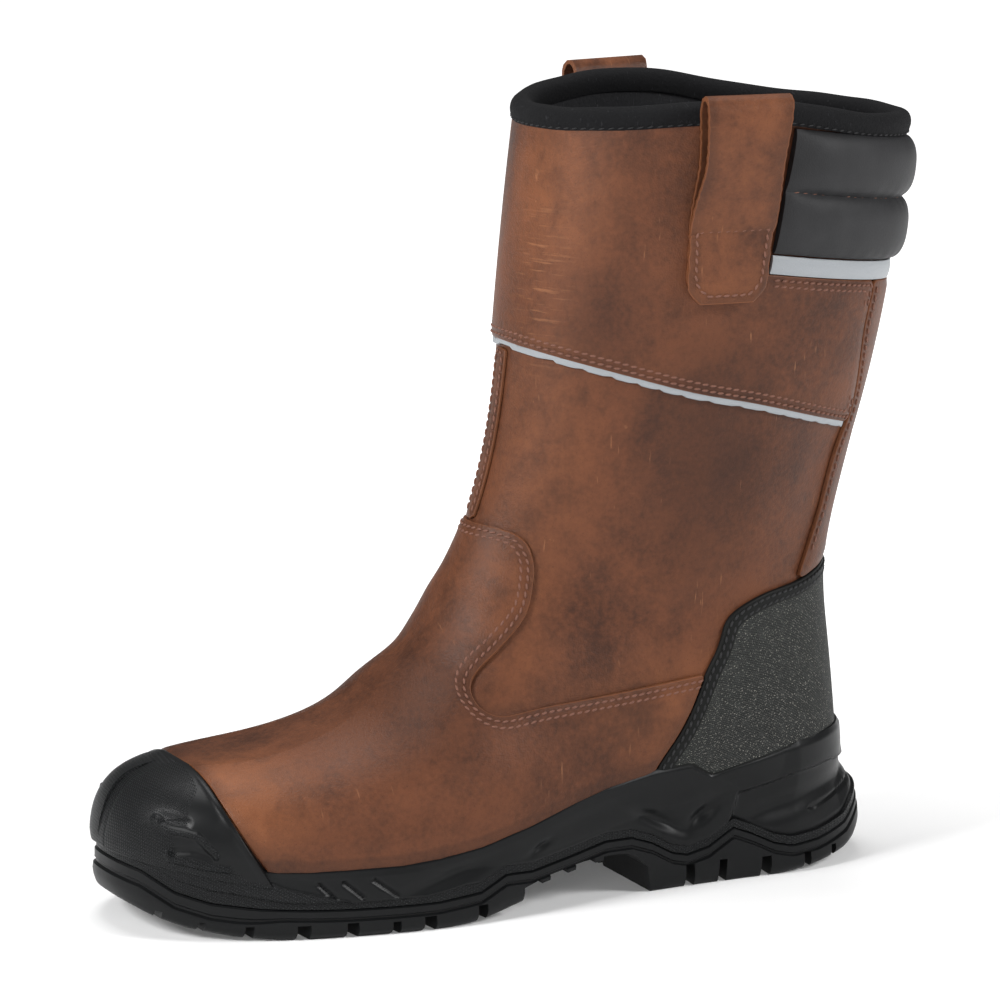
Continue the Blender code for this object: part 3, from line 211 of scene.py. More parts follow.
LOOP_HOLE = [
    # height above the rim, inner side of the gap, outer side of the gap
    (-0.0450, 0.0054, 0.0054), (-0.0330, 0.0054, 0.0080), (-0.0210, 0.0058, 0.0114),
    (-0.0100, 0.0060, 0.0130), (-0.0010, 0.0060, 0.0132), (0.0030, 0.0068, 0.0122),
    (0.0045, 0.0096, 0.0096),
]
LOOP_FOOT, LOOP_SEAT = -0.0710, 0.0032
INSOLE_THICK, INSOLE_CLEAR = 0.0040, 0.0020
UPPER_DEEP = WALL - 0.0006                  # the lining covers the rest of the wall
LINING_FROM, LINING_TO = WALL - 0.0004, WALL + 0.0011

# Soft troughs and ridges in the leather
FOLDS = [
    # y, z, half length, half width, rise in degrees, height (a trough is negative)
    (-0.0330, 0.0900, 0.0300, 0.0080, -38, -0.0010), (-0.0460, 0.0760, 0.0300, 0.0090, -42, 0.0008),
    (-0.0180, 0.1080, 0.0260, 0.0080, -30, 0.0007), (0.0250, 0.1000, 0.0350, 0.0100, 10, -0.0010),
    (0.0500, 0.1150, 0.0300, 0.0120, 40, 0.0008), (0.0200, 0.1500, 0.0120, 0.0320, 0, 0.0010),
    (0.0480, 0.1580, 0.0100, 0.0350, -5, -0.0012), (0.0850, 0.1550, 0.0120, 0.0350, -8, 0.0010),
    (0.1130, 0.1480, 0.0080, 0.0220, -12, -0.0008), (0.0600, 0.2150, 0.0350, 0.0140, 12, -0.0008),
    (0.0300, 0.2500, 0.0140, 0.0300, 0, 0.0009), (-0.1000, 0.0500, 0.0200, 0.0080, 12, -0.0005),
]
SHIN_CREASES = [0.2105, 0.2160, 0.2230, 0.2262, 0.2330, 0.2362, 0.2395, 0.2450, 0.2500, 0.2572]
SHIN_X = 0.017                              # middle of the creases

# Tones of the leather: painted highlights, painted shade and rubbed places
PAINTED_HIGHLIGHTS = [
    # place, half sizes and share of a painted highlight
    ((0.028, -0.125, 0.050), (0.040, 0.035, 0.030), 1.0),
    ((0.022, 0.012, 0.262), (0.030, 0.030, 0.040), 0.75),
    ((0.030, 0.002, 0.175), (0.030, 0.026, 0.060), 0.55),
    ((0.046, 0.052, 0.072), (0.030, 0.050, 0.022), 0.55),
    ((0.030, -0.010, 0.110), (0.040, 0.020, 0.040), 0.35),
]
PAINTED_SHADE = [
    # the same of a painted shade
    ((0.050, 0.062, 0.165), (0.034, 0.034, 0.060), 1.0),
    ((0.045, 0.020, 0.215), (0.034, 0.022, 0.030), 0.6),
    ((0.030, -0.050, 0.078), (0.040, 0.040, 0.030), 0.8),
]
RUBBED = [((0.018, 0.006, 0.232), (0.016, 0.020, 0.040), 1.0)]


def length(label, words, value):
    """A length property in metres."""
    return FloatProperty(name=label, description=words, default=value, unit="LENGTH")


class BootSizes(bpy.types.PropertyGroup):
    """Sizes that a maker would change."""
    layer: length("Overlay", "Thickness of an overlay", 0.0020)
    stitch: length("Stitch", "Length of one stitch", 0.0027)
    pitch: length("Pitch", "From stitch to stitch", 0.0031)
    thread: length("Thread", "Thickness of the thread", 0.0010)
    edge: length("Edge", "Rounding of a cut edge", 0.0005)


def colour(label, words, value):
    """A colour property in linear light."""
    return FloatVectorProperty(name=label, description=words, default=value, size=3, min=0, max=1,
                               subtype="COLOR")


class BootColours(bpy.types.PropertyGroup):
    """Colours of the finishes."""
    # The dark tone also paints shade on the leather, and the light tone paints its highlights.
    dark_leather: colour("Dark leather", "Oiled dark places of the leather", (0.031, 0.0118, 0.0066))
    leather: colour("Leather", "Main tone of the leather", (0.108, 0.0365, 0.0158))
    light_leather: colour("Light leather", "Worn lighter places", (0.225, 0.079, 0.0300))
    scuff: colour("Scuff", "Scuffs and scratches", (0.400, 0.175, 0.080))
    moulding: colour("Moulding", "Moulded black sole and toe cap", (0.0046, 0.0049, 0.0052))
    rubber: colour("Rubber", "Outsole", (0.0044, 0.0047, 0.0050))
    fabric: colour("Fabric", "Coated fabric of the heel", (0.018, 0.019, 0.018))
    pad: colour("Pad", "Cover of the collar pad", (0.021, 0.021, 0.022))
    reflective: colour("Reflective", "Band and piping", (0.50, 0.53, 0.56))
    binding: colour("Binding", "Suede over the rim", (0.0045, 0.0045, 0.0050))
    thread: colour("Thread", "Brown thread", (0.150, 0.066, 0.044))
    floor: colour("Floor", "Pale floor", (0.86, 0.86, 0.86))


def sizes():
    return bpy.context.scene.boot_sizes


def colours():
    return bpy.context.scene.boot_colours


def smooth(points):
    """Natural cubic curve through (x, y) pairs, as a function of x that holds its end values."""
    xs, ys = np.array([p[:2] for p in points], float).T
    n = len(xs)
    h = np.diff(xs)
    a, b = np.eye(n), np.zeros(n)
    for i in range(1, n - 1):
        a[i, i - 1:i + 2] = h[i - 1], 2 * (h[i - 1] + h[i]), h[i]
        b[i] = 6 * ((ys[i + 1] - ys[i]) / h[i] - (ys[i] - ys[i - 1]) / h[i - 1])
    m = np.linalg.solve(a, b)

    def at(x):
        t = np.clip(np.asarray(x, float), xs[0], xs[-1])
        i = np.clip(np.searchsorted(xs, t) - 1, 0, n - 2)
        right, left = t - xs[i], xs[i + 1] - t
        bend = (m[i] * left**3 + m[i + 1] * right**3) / (6 * h[i])
        from_left = (ys[i] / h[i] - m[i] * h[i] / 6) * left
        return bend + from_left + (ys[i + 1] / h[i] - m[i + 1] * h[i] / 6) * right
    return at


def straight(points):
    """Straight runs through (x, y) pairs, as a function of x."""
    xs, ys = np.array(points, float).T
    return lambda x: np.interp(x, xs, ys)


def through(points, count):
    """An evenly spaced smooth line of count points through plane points."""
    p = np.array(points, float)
    run = np.concatenate([[0], np.cumsum(np.hypot(*np.diff(p, axis=0).T))])
    t = np.linspace(0, run[-1], count)
    return np.stack([smooth(np.stack([run, p[:, k]], 1))(t) for k in (0, 1)], 1)


def round_end(distance, length, power):
    """Share of the full width at a distance from the tip of a rounded end."""
    u = 1 - np.clip(distance / length, 0, 1)
    return (1 - u**power) ** (1 / power)


def ramp(low, high, value):
    """Smooth step from 0 to 1 between two values."""
    t = np.clip((value - low) / (high - low), 0, 1)
    return t * t * (3 - 2 * t)


floor_height = smooth(FLOOR)
centre_x = smooth(CENTRE_LINE)
sole_side = {1: smooth([(r[0], r[1]) for r in SOLE_PLAN]), -1: smooth([(r[0], r[2]) for r in SOLE_PLAN])}
zigzag, sole_top, heel_line = straight(ZIGZAG), straight(SOLE_TOP), straight(HEEL_LINE)
FRONT_LINE = through(FRONT, 400)
BACK_LINE = through(BACK, 400)


def fan(y, z):
    """Station along the foot and leg, and depth under the instep side, of a side-view point."""
    ry, rz = np.asarray(y, float) - PIVOT_Y, np.asarray(z, float) - PIVOT_Z
    along = ry * UP_LEG[0] + rz * UP_LEG[1]
    across = ry * ACROSS_LEG[0] + rz * ACROSS_LEG[1]
    turned = np.arctan2(ry, -rz) / TURN * FAN
    foot, leg = ry < 0, along > 0
    station = np.where(foot, ry, np.where(leg, FAN + along, turned))
    depth = np.where(foot, -rz, np.where(leg, across, np.hypot(ry, rz)))
    return station, depth


FLOOR_Y = np.linspace(TOE_END, HEEL_END, 160)
UNDER = np.concatenate([np.stack([FLOOR_Y, floor_height(FLOOR_Y)], 1), BACK_LINE[1:]])
TOP_STATION, TOP_DEPTH = fan(*FRONT_LINE.T)
UNDER_STATION, UNDER_DEPTH = fan(*UNDER.T)
LAST_FLOOR_STATION = float(fan(HEEL_END, floor_height(HEEL_END))[0])
section = {name: smooth([(row[0], row[k]) for row in SECTIONS])
           for k, name in enumerate(("outer", "inner", "widest", "top", "side"), start=1)}


def half_width(y, z, side):
    """Half width of the leather upper at a side-view point, from its sections."""
    station, depth = fan(y, z)
    top = np.interp(station, TOP_STATION, TOP_DEPTH)
    low = np.interp(station, UNDER_STATION, UNDER_DEPTH)
    t = np.clip((depth - top) / np.maximum(low - top, 1e-6), 0, 1)
    full = section["outer" if side > 0 else "inner"](station)
    full = full * round_end(station - (TOE_END - PIVOT_Y), *TOE_NOSE)
    low_y = np.interp(station, UNDER_STATION, UNDER[:, 0])
    ends = round_end(low_y - TOE_END, *TOE_NOSE) * round_end(HEEL_END - low_y, *HEEL_NOSE)
    foot = np.where(station < LAST_FLOOR_STATION, (sole_side[side](low_y) - FEATHER_INSET) * ends, 0.0)
    widest = section["widest"](station)
    over, below = np.clip((widest - t) / widest, 0, 1), np.clip((t - widest) / (1 - widest), 0, 1)
    top_power, side_power = section["top"](station), section["side"](station)
    close = 1 - np.clip(foot / np.maximum(full, 1e-6), 0, 1) ** side_power
    upper_part = (1 - over**top_power) ** (1 / top_power)
    lower_part = (1 - close * below**side_power) ** (1 / side_power)
    return full * np.where(t < widest, upper_part, lower_part)


def at_share(line, share):
    """Points of a side-view line at shares of its length."""
    run = np.concatenate([[0], np.cumsum(np.hypot(*np.diff(line, axis=0).T))])
    return np.stack([np.interp(share * run[-1], run, line[:, k]) for k in (0, 1)], -1)


def both_sides(y, z, closed=True):
    """Rings from side-view points: down the outer side and back, or inner side to outer side."""
    outer = np.stack([centre_x(y) + half_width(y, z, 1), y, z], -1)
    inner = np.stack([centre_x(y) - half_width(y, z, -1), y, z], -1)
    if closed:
        return np.concatenate([outer, inner[..., -2:0:-1, :]], -2)
    return np.concatenate([inner[..., ::-1, :], outer[..., 1:, :]], -2)


def skin(v, s, closed=True):
    """Outside of the upper in rings from the feather line to the rim, (ring, column, xyz)."""
    v = np.asarray(v, float)[:, None]
    front, back = at_share(FRONT_LINE, v[:, 0]), at_share(BACK_LINE, v[:, 0]**BACK_LAG)
    y = front[:, :1] + (back - front)[:, :1] * s
    z = front[:, 1:] + (back - front)[:, 1:] * s
    chord = FRONT[0][1] + (BACK[0][1] - FRONT[0][1]) * (y - TOE_END) / (HEEL_END - TOE_END)
    z = z + (floor_height(y) - chord) * (1 - v) ** 6
    rise = smooth(RIM_RISE)(s) * v**8
    return both_sides(y + rise * UP_LEG[0], z + rise * UP_LEG[1], closed)


def shares(count):
    """Shares from front to back, close together at both ends."""
    return (1 - np.cos(np.linspace(0, math.pi, count + 1))) / 2


def normals(points, closed=True):
    """Outward directions of a grid whose columns run round the boot and whose rings rise."""
    if closed:
        round_it = np.roll(points, -1, 1) - np.roll(points, 1, 1)
    else:
        round_it = np.gradient(points, axis=1)
    n = np.cross(round_it, np.gradient(points, axis=0))
    return n / np.maximum(np.linalg.norm(n, axis=2, keepdims=True), 1e-9)


FRAME_SKIN = skin(np.linspace(0, 1, FRAME_RINGS + 1) ** RING_CROWD, shares(FRAME_COLUMNS))
SHIFT = np.array(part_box("upper")[0]) - FRAME_SKIN.min((0, 1))
SHIFT[2] = 0.0


def patch(y, z, table):
    """Sum of soft elongated bumps from a table of y, z, half length, half width, degrees, height."""
    total = np.zeros(np.broadcast(y, z).shape)
    for py, pz, length, width, degrees, height in table:
        turn = math.radians(degrees)
        along = (y - py) * math.cos(turn) + (z - pz) * math.sin(turn)
        aside = (z - pz) * math.cos(turn) - (y - py) * math.sin(turn)
        total = total + height * np.exp(-(along / length) ** 2 - (aside / width) ** 2)
    return total


def shin_creases(points):
    """Small level creases at the front of the shin, on the outer side."""
    x, y, z = np.moveaxis(points, -1, 0)
    near = np.exp(-((x - SHIN_X) / 0.010) ** 2) * (y < 0.03)
    total = np.zeros(x.shape)
    for number, height in enumerate(SHIN_CREASES):
        deep = 0.00022 + 0.00012 * (number % 3)
        total -= np.exp(-((z - height - 0.10 * (x - SHIN_X)) / 0.0011) ** 2) * deep
    return total * near


class Surface:
    """A grid over the outside of the upper: points, outward directions, side-view places, heights above
    the sole's rim, and lengths along the cloth."""

    def __init__(self, v, s, closed=True):
        flat = skin(v, s, closed)
        self.closed = closed
        self.out = normals(flat, closed)
        if not closed:
            middle = flat.shape[1] // 2
            rise = np.gradient(flat[:, middle], axis=0)
            ahead = np.stack([0 * rise[:, 0], -rise[:, 2], rise[:, 1]], -1)
            ahead /= np.maximum(np.linalg.norm(ahead, axis=1, keepdims=True), 1e-9)
            share = np.clip(np.abs(flat[..., 0] - flat[:, middle:middle + 1, 0]) / NOSE_BLEND, 0, 1)
            share = share[..., None]
            self.out = ahead[:, None] * (1 - share) + self.out * share
            self.out /= np.linalg.norm(self.out, axis=2, keepdims=True)
        self.y, self.z = flat[..., 1], flat[..., 2]
        self.above = self.z - sole_top(self.y)
        lift = patch(self.y, self.z, FOLDS) + shin_creases(flat)
        self.points = flat + self.out * lift[..., None] + SHIFT
        step = np.linalg.norm(np.roll(self.points, -1, 1) - self.points, axis=2)
        columns = flat.shape[1]
        back = columns // 2
        run = np.concatenate([np.zeros((len(flat), 1)), np.cumsum(step, 1)[:, :-1]], 1)
        if closed:
            run = run - run[:, back:back + 1]
        rise = np.concatenate([np.zeros((1, columns)),
                               np.cumsum(np.linalg.norm(np.diff(self.points, axis=0), axis=2), 0)])
        self.cloth = np.stack([run, rise, np.zeros_like(run)], -1)


def to_segment(y, z, start, end):
    """Distance from side-view places to a straight piece of a line."""
    dy, dz = end[0] - start[0], end[1] - start[1]
    t = np.clip(((y - start[0]) * dy + (z - start[1]) * dz) / (dy * dy + dz * dz), 0, 1)
    return np.hypot(y - start[0] - t * dy, z - start[1] - t * dz)


def depth_inside(outline, y, z):
    """Distance to a closed side-view outline, positive inside it."""
    points = np.array(outline, float)
    best = np.full(y.shape, 1.0)
    inside = np.zeros(y.shape, bool)
    for a, b in zip(points, np.roll(points, -1, 0)):
        if np.sum((b - a) ** 2) < 1e-14:
            continue
        best = np.minimum(best, to_segment(y, z, a, b))
        if a[1] != b[1]:
            crossed = y < a[0] + (z - a[1]) * (b[0] - a[0]) / (b[1] - a[1])
            inside ^= ((a[1] > z) != (b[1] > z)) & crossed
    return np.where(inside, best, -best)


def trimmed(field, data, closed):
    """Grid data pulled onto the field's zero line, and the faces that are left, facing outwards."""
    rows, columns = field.shape
    inside = field > 0
    moved, reach = data.copy(), np.full(field.shape, np.inf)
    for dr, dc in ((1, 0), (-1, 0), (0, 1), (0, -1)):
        other = np.roll(field, (-dr, -dc), (0, 1))
        near = np.roll(data, (-dr, -dc), (0, 1))
        fits = ~inside & (other > 0)
        if dr:
            fits[-1 if dr > 0 else 0] = False
        if dc and not closed:
            fits[:, -1 if dc > 0 else 0] = False
        t = np.where(fits, -field / np.where(fits, other - field, 1), 0)
        spot = data + (near - data) * t[..., None]
        far = np.linalg.norm(spot[..., :3] - data[..., :3], axis=-1)
        take = fits & (far < reach)
        moved[take], reach[take] = spot[take], far[take]
    used = inside | np.isfinite(reach)
    faces = []
    r, c = np.meshgrid(np.arange(rows - 1), np.arange(columns if closed else columns - 1), indexing="ij")
    d = (c + 1) % columns
    corners = np.stack([r * columns + c, r * columns + d, (r + 1) * columns + d, (r + 1) * columns + c], -1)
    corners = corners.reshape(-1, 4)
    ok, whole = used.ravel()[corners], inside.ravel()[corners].any(1)
    for quad, keep in zip(corners[whole], ok[whole]):
        if keep.all():
            faces.append(tuple(quad))
        elif keep.sum() == 3:
            faces.append(tuple(quad[keep]))
    number = np.full(rows * columns, -1)
    seen = np.unique(np.concatenate([np.array(f) for f in faces]))
    number[seen] = np.arange(len(seen))
    return moved.reshape(rows * columns, -1)[seen], [tuple(int(number[k]) for k in f) for f in faces]


def rim_edges(faces):
    """Directed edges of faces that no other face shares."""
    seen = set()
    for face in faces:
        for a, b in zip(face, face[1:] + face[:1]):
            seen.add((a, b))
    return [(a, b) for a, b in seen if (b, a) not in seen]


def piece(name, points, faces, material, flags=None, sharp=40):
    """A finished mesh piece in the frame's place, smooth-shaded, riding on the boot."""
    mesh = bpy.data.meshes.new(name)
    mesh.from_pydata(np.asarray(points, float).tolist(), [], faces)
    for label, values in (flags or {}).items():
        values = np.asarray(values, float)
        kind = "FLOAT" if values.ndim == 1 else "FLOAT_VECTOR"
        layer = mesh.attributes.new(label, kind, "POINT")
        layer.data.foreach_set("value" if values.ndim == 1 else "vector", values.ravel())
    mesh.update()
    mesh.shade_smooth()
    mesh.set_sharp_from_angle(angle=math.radians(sharp))
    item = bpy.data.objects.new(name, mesh)
    bpy.context.scene.collection.objects.link(item)
    mesh.materials.append(material)
    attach(item, "root")
    return item


def stand_for(item, slot, *nodes):
    """Hides the frame nodes that the piece stands for, and gives it back."""
    if nodes:
        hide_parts(*nodes)
    return item


def panel(name, surface, field, material, thick, lift=GAP, edge=None, soft=0.0, down=0.0015):
    """A leather or moulded panel: a patch of the surface with a rounded edge, closed underneath.

    thick is a number or a grid. soft is the distance over which the panel thins towards its edge.
    down is how far it runs below the sole's rim.
    """
    field = np.minimum(field, (surface.above + down) * 3)
    edge = sizes().edge if edge is None else edge
    thick = np.broadcast_to(np.asarray(thick, float), field.shape)
    if soft:
        thick = thick * (0.72 + 0.28 * ramp(0, soft, field))
    data = np.concatenate([surface.points, surface.out, surface.cloth, field[..., None], thick[..., None],
                           surface.above[..., None]], -1)
    data, faces = trimmed(field - edge, data, surface.closed)
    count = len(data)
    place, out, cloth, inner, height = (data[:, :3], data[:, 3:6], data[:, 6:9], data[:, 9], data[:, 10])
    out = out / np.maximum(np.linalg.norm(out, axis=1, keepdims=True), 1e-9)
    border = rim_edges(faces)
    aside = np.zeros_like(place)
    for a, b in border:
        way = np.cross(place[b] - place[a], out[a])
        way = way / max(np.linalg.norm(way), 1e-9)
        aside[a] += way
        aside[b] += way
    aside /= np.maximum(np.linalg.norm(aside, axis=1, keepdims=True), 1e-9)
    ends = sorted({k for pair in border for k in pair})
    spot = {k: i for i, k in enumerate(ends)}
    points, depth = [place + out * (lift + height)[:, None]], [inner]
    low = (lift + height)[ends, None]
    for side, drop in ((0.55, 0.12), (0.88, 0.45), (1.0, 1.0)):
        points.append(place[ends] + aside[ends] * edge * side + out[ends] * (low - edge * drop))
        depth.append(np.full(len(ends), edge * (1 - side)))
    points.append(place[ends] + aside[ends] * edge + out[ends] * lift)
    depth.append(np.zeros(len(ends)))
    inner_only = [k for k in range(count) if k not in spot]
    under = {k: count + 4 * len(ends) + i for i, k in enumerate(inner_only)}
    under.update({k: count + 3 * len(ends) + spot[k] for k in ends})
    points.append(place[inner_only] + out[inner_only] * lift)
    depth.append(np.zeros(len(inner_only)))
    all_faces = list(faces)
    for ring in range(4):
        for a, b in border:
            above = count + (ring - 1) * len(ends)
            top_a, top_b = (a, b) if ring == 0 else (above + spot[a], above + spot[b])
            low_a, low_b = (count + ring * len(ends) + spot[k] for k in (a, b))
            all_faces.append((top_b, top_a, low_a, low_b))
    all_faces += [tuple(under[k] for k in face[::-1]) for face in faces]
    rest = np.concatenate([np.arange(count)] + [ends] * 4 + [inner_only]).astype(int)
    return piece(name, np.concatenate(points), all_faces, material,
                 {"inner": np.concatenate(depth), "cloth": cloth[rest], "above": data[rest, 11]})


def walled(name, outer, inner, material, closed=True, flags=None):
    """A closed wall between an outer and an inner grid."""
    loop = np.concatenate([outer, inner[::-1]])
    rows, columns = loop.shape[:2]
    index = np.arange(rows * columns).reshape(rows, columns)
    faces = grid_faces(index, closed, round_rows=True)
    if not closed:
        faces += [tuple(int(k) for k in index[::-1, 0]), tuple(int(k) for k in index[:, -1])]
    if flags:
        flags = {k: np.concatenate([v, v[::-1]]).ravel() for k, v in flags.items()}
    return piece(name, loop.reshape(-1, 3), faces, material, flags)


def grid_faces(index, closed, round_rows=False):
    """Quads of an index grid, facing outwards when its columns run round the boot and its rows rise."""
    below = index if round_rows else index[:-1]
    above = np.roll(index, -1, 0) if round_rows else index[1:]
    if closed:
        right_below, right_above = np.roll(below, -1, 1), np.roll(above, -1, 1)
    else:
        right_below, right_above = below[:, 1:], above[:, 1:]
        below, above = below[:, :-1], above[:, :-1]
    quads = np.stack([below, right_below, right_above, above], -1).reshape(-1, 4)
    return [tuple(int(k) for k in q) for q in quads]


def contour(surface, field, lift):
    """Ordered lines where a field is zero, with their outward directions: [(points, outs), ...]."""
    columns = field.shape[1]
    positive = field > 0
    spots, links = {}, {}

    def crossing(a, b):
        key = (min(a, b), max(a, b))
        if key not in spots:
            fa, fb = field[a], field[b]
            t = fa / (fa - fb)
            place = surface.points[a] + (surface.points[b] - surface.points[a]) * t
            out = surface.out[a] + (surface.out[b] - surface.out[a]) * t
            out = out / np.linalg.norm(out)
            spots[key] = (place + out * lift, out)
        return key

    last = columns if surface.closed else columns - 1
    right = np.roll(positive, -1, 1)
    mixed = (positive[:-1] != positive[1:]) | (right[:-1] != positive[:-1]) | (right[1:] != positive[:-1])
    for r, c in zip(*np.nonzero(mixed[:, :last])):
        ring = [(r, c), (r, (c + 1) % columns), (r + 1, (c + 1) % columns), (r + 1, c)]
        keys = [crossing(a, b) for a, b in zip(ring, ring[1:] + ring[:1]) if positive[a] != positive[b]]
        for a, b in zip(keys[::2], keys[1::2]):
            links.setdefault(a, []).append(b)
            links.setdefault(b, []).append(a)
    lines, left = [], set(links)
    for start in sorted(links, key=lambda k: (len(links[k]), k)):
        if start not in left:
            continue
        line, here = [start], start
        left.discard(start)
        while True:
            ahead = [k for k in links[here] if k in left]
            if not ahead:
                break
            here = ahead[0]
            left.discard(here)
            line.append(here)
        if len(line) > 3:
            lines.append((np.array([spots[k][0] for k in line]), np.array([spots[k][1] for k in line])))
    return lines


class Number:
    """A shader value whose arithmetic adds Math nodes."""

    def __init__(self, make, socket):
        self.make, self.socket = make, socket

    def math(self, operation, *others, clamp=False):
        """This value with others through one Math node."""
        return self.make.node("ShaderNodeMath", {"operation": operation, "use_clamp": clamp},
                              dict(enumerate((self, *others))))

    def __add__(self, other):
        return self.math("ADD", other)

    def __sub__(self, other):
        return self.math("SUBTRACT", other)

    def __mul__(self, other):
        return self.math("MULTIPLY", other)

    def __truediv__(self, other):
        return self.math("DIVIDE", other)

    def __rsub__(self, other):
        return self.math("MULTIPLY", -1.0).math("ADD", other)

    __radd__, __rmul__ = __add__, __mul__

    def held(self):
        """The value held between 0 and 1."""
        return self.math("ADD", 0.0, clamp=True)

    def step(self, low, high):
        """Smooth step from 0 to 1 between two values, or from 1 to 0 if low is above high."""
        turned = low > high
        settings = {"interpolation_type": "SMOOTHSTEP"}
        inputs = {0: self, 1: min(low, high), 2: max(low, high), 3: float(turned), 4: float(not turned)}
        return self.make.node("ShaderNodeMapRange", settings, inputs)


class Finish:
    """A material under construction: its nodes, and the values that feed its Principled shader."""

    def __init__(self, name, **fixed):
        self.material = bpy.data.materials.new(name)
        self.material.use_nodes = True
        self.tree = self.material.node_tree
        self.shader = self.tree.nodes["Principled BSDF"]
        for label, value in fixed.items():
            self.shader.inputs[label.replace("_", " ")].default_value = value
        self.place = self.node("ShaderNodeTexCoord", {}, {}, "Object")

    def node(self, kind, settings, inputs, out=0):
        """Adds one node, sets it up, and gives back one of its outputs as a value."""
        item = self.tree.nodes.new(kind)
        for label, value in settings.items():
            setattr(item, label, value)
        for label, value in inputs.items():
            if isinstance(value, Number):
                self.tree.links.new(value.socket, item.inputs[label])
            else:
                item.inputs[label].default_value = value
        return Number(self, item.outputs[out])

    def stretched(self, scale, turn=(0.0, 0.0, 0.0), source=None):
        """Coordinates scaled, and turned if asked, by a Mapping node."""
        return self.node("ShaderNodeMapping", {}, {"Vector": source or self.place, "Scale": scale,
                                                   "Rotation": turn})

    def noise(self, scale, detail=3.0, rough=0.55, source=None, twist=0.0):
        return self.node("ShaderNodeTexNoise", {}, {"Vector": source or self.place, "Scale": scale,
                                                    "Detail": detail, "Roughness": rough,
                                                    "Distortion": twist}, "Fac")

    def cells(self, scale, feature="F1", source=None):
        return self.node("ShaderNodeTexVoronoi", {"feature": feature},
                         {"Vector": source or self.place, "Scale": scale}, "Distance")

    def flag(self, label, out="Fac"):
        """A value stored on the piece's points."""
        return self.node("ShaderNodeAttribute", {"attribute_name": label}, {}, out)

    def axis(self, number, source=None):
        return self.node("ShaderNodeSeparateXYZ", {}, {0: source or self.place}, number)

    def spot(self, centre, size):
        """A soft round mask, 1 at its middle, from a place and half sizes in metres."""
        shift = [-c / s for c, s in zip(centre, size)]
        ball = self.node("ShaderNodeMapping", {}, {"Vector": self.place, "Location": shift,
                                                   "Scale": [1 / s for s in size]})
        far = self.node("ShaderNodeVectorMath", {"operation": "LENGTH"}, {0: ball}, "Value")
        return far.step(1.25, 0.15)

    def spots(self, table):
        """Sum of soft round masks on the boot, from a table of places, half sizes and shares."""
        masks = [self.spot(np.array(place) + SHIFT, size) * share for place, size, share in table]
        return sum(masks[1:], masks[0])

    def mix(self, share, low, high):
        """A colour between two colours."""
        solid = [tuple(c) + (1.0,) if not isinstance(c, Number) else c for c in (low, high)]
        return self.node("ShaderNodeMix", {"data_type": "RGBA"}, {0: share, 6: solid[0], 7: solid[1]}, 2)

    def bump(self, height, distance, strength=1.0, under=None):
        """A Bump node over a height, on top of another one if given."""
        inputs = {"Height": height, "Distance": distance, "Strength": strength}
        if under:
            inputs["Normal"] = under
        return self.node("ShaderNodeBump", {}, inputs, "Normal")

    def feed(self, **values):
        """Links values to the Principled shader's sockets."""
        for label, value in values.items():
            socket = self.shader.inputs[label.replace("_", " ")]
            if isinstance(value, Number):
                self.tree.links.new(value.socket, socket)
            else:
                socket.default_value = value
        return self.material


def tint(tone, times):
    """A tone made lighter or darker."""
    return tuple(min(c * times, 1) for c in tone)


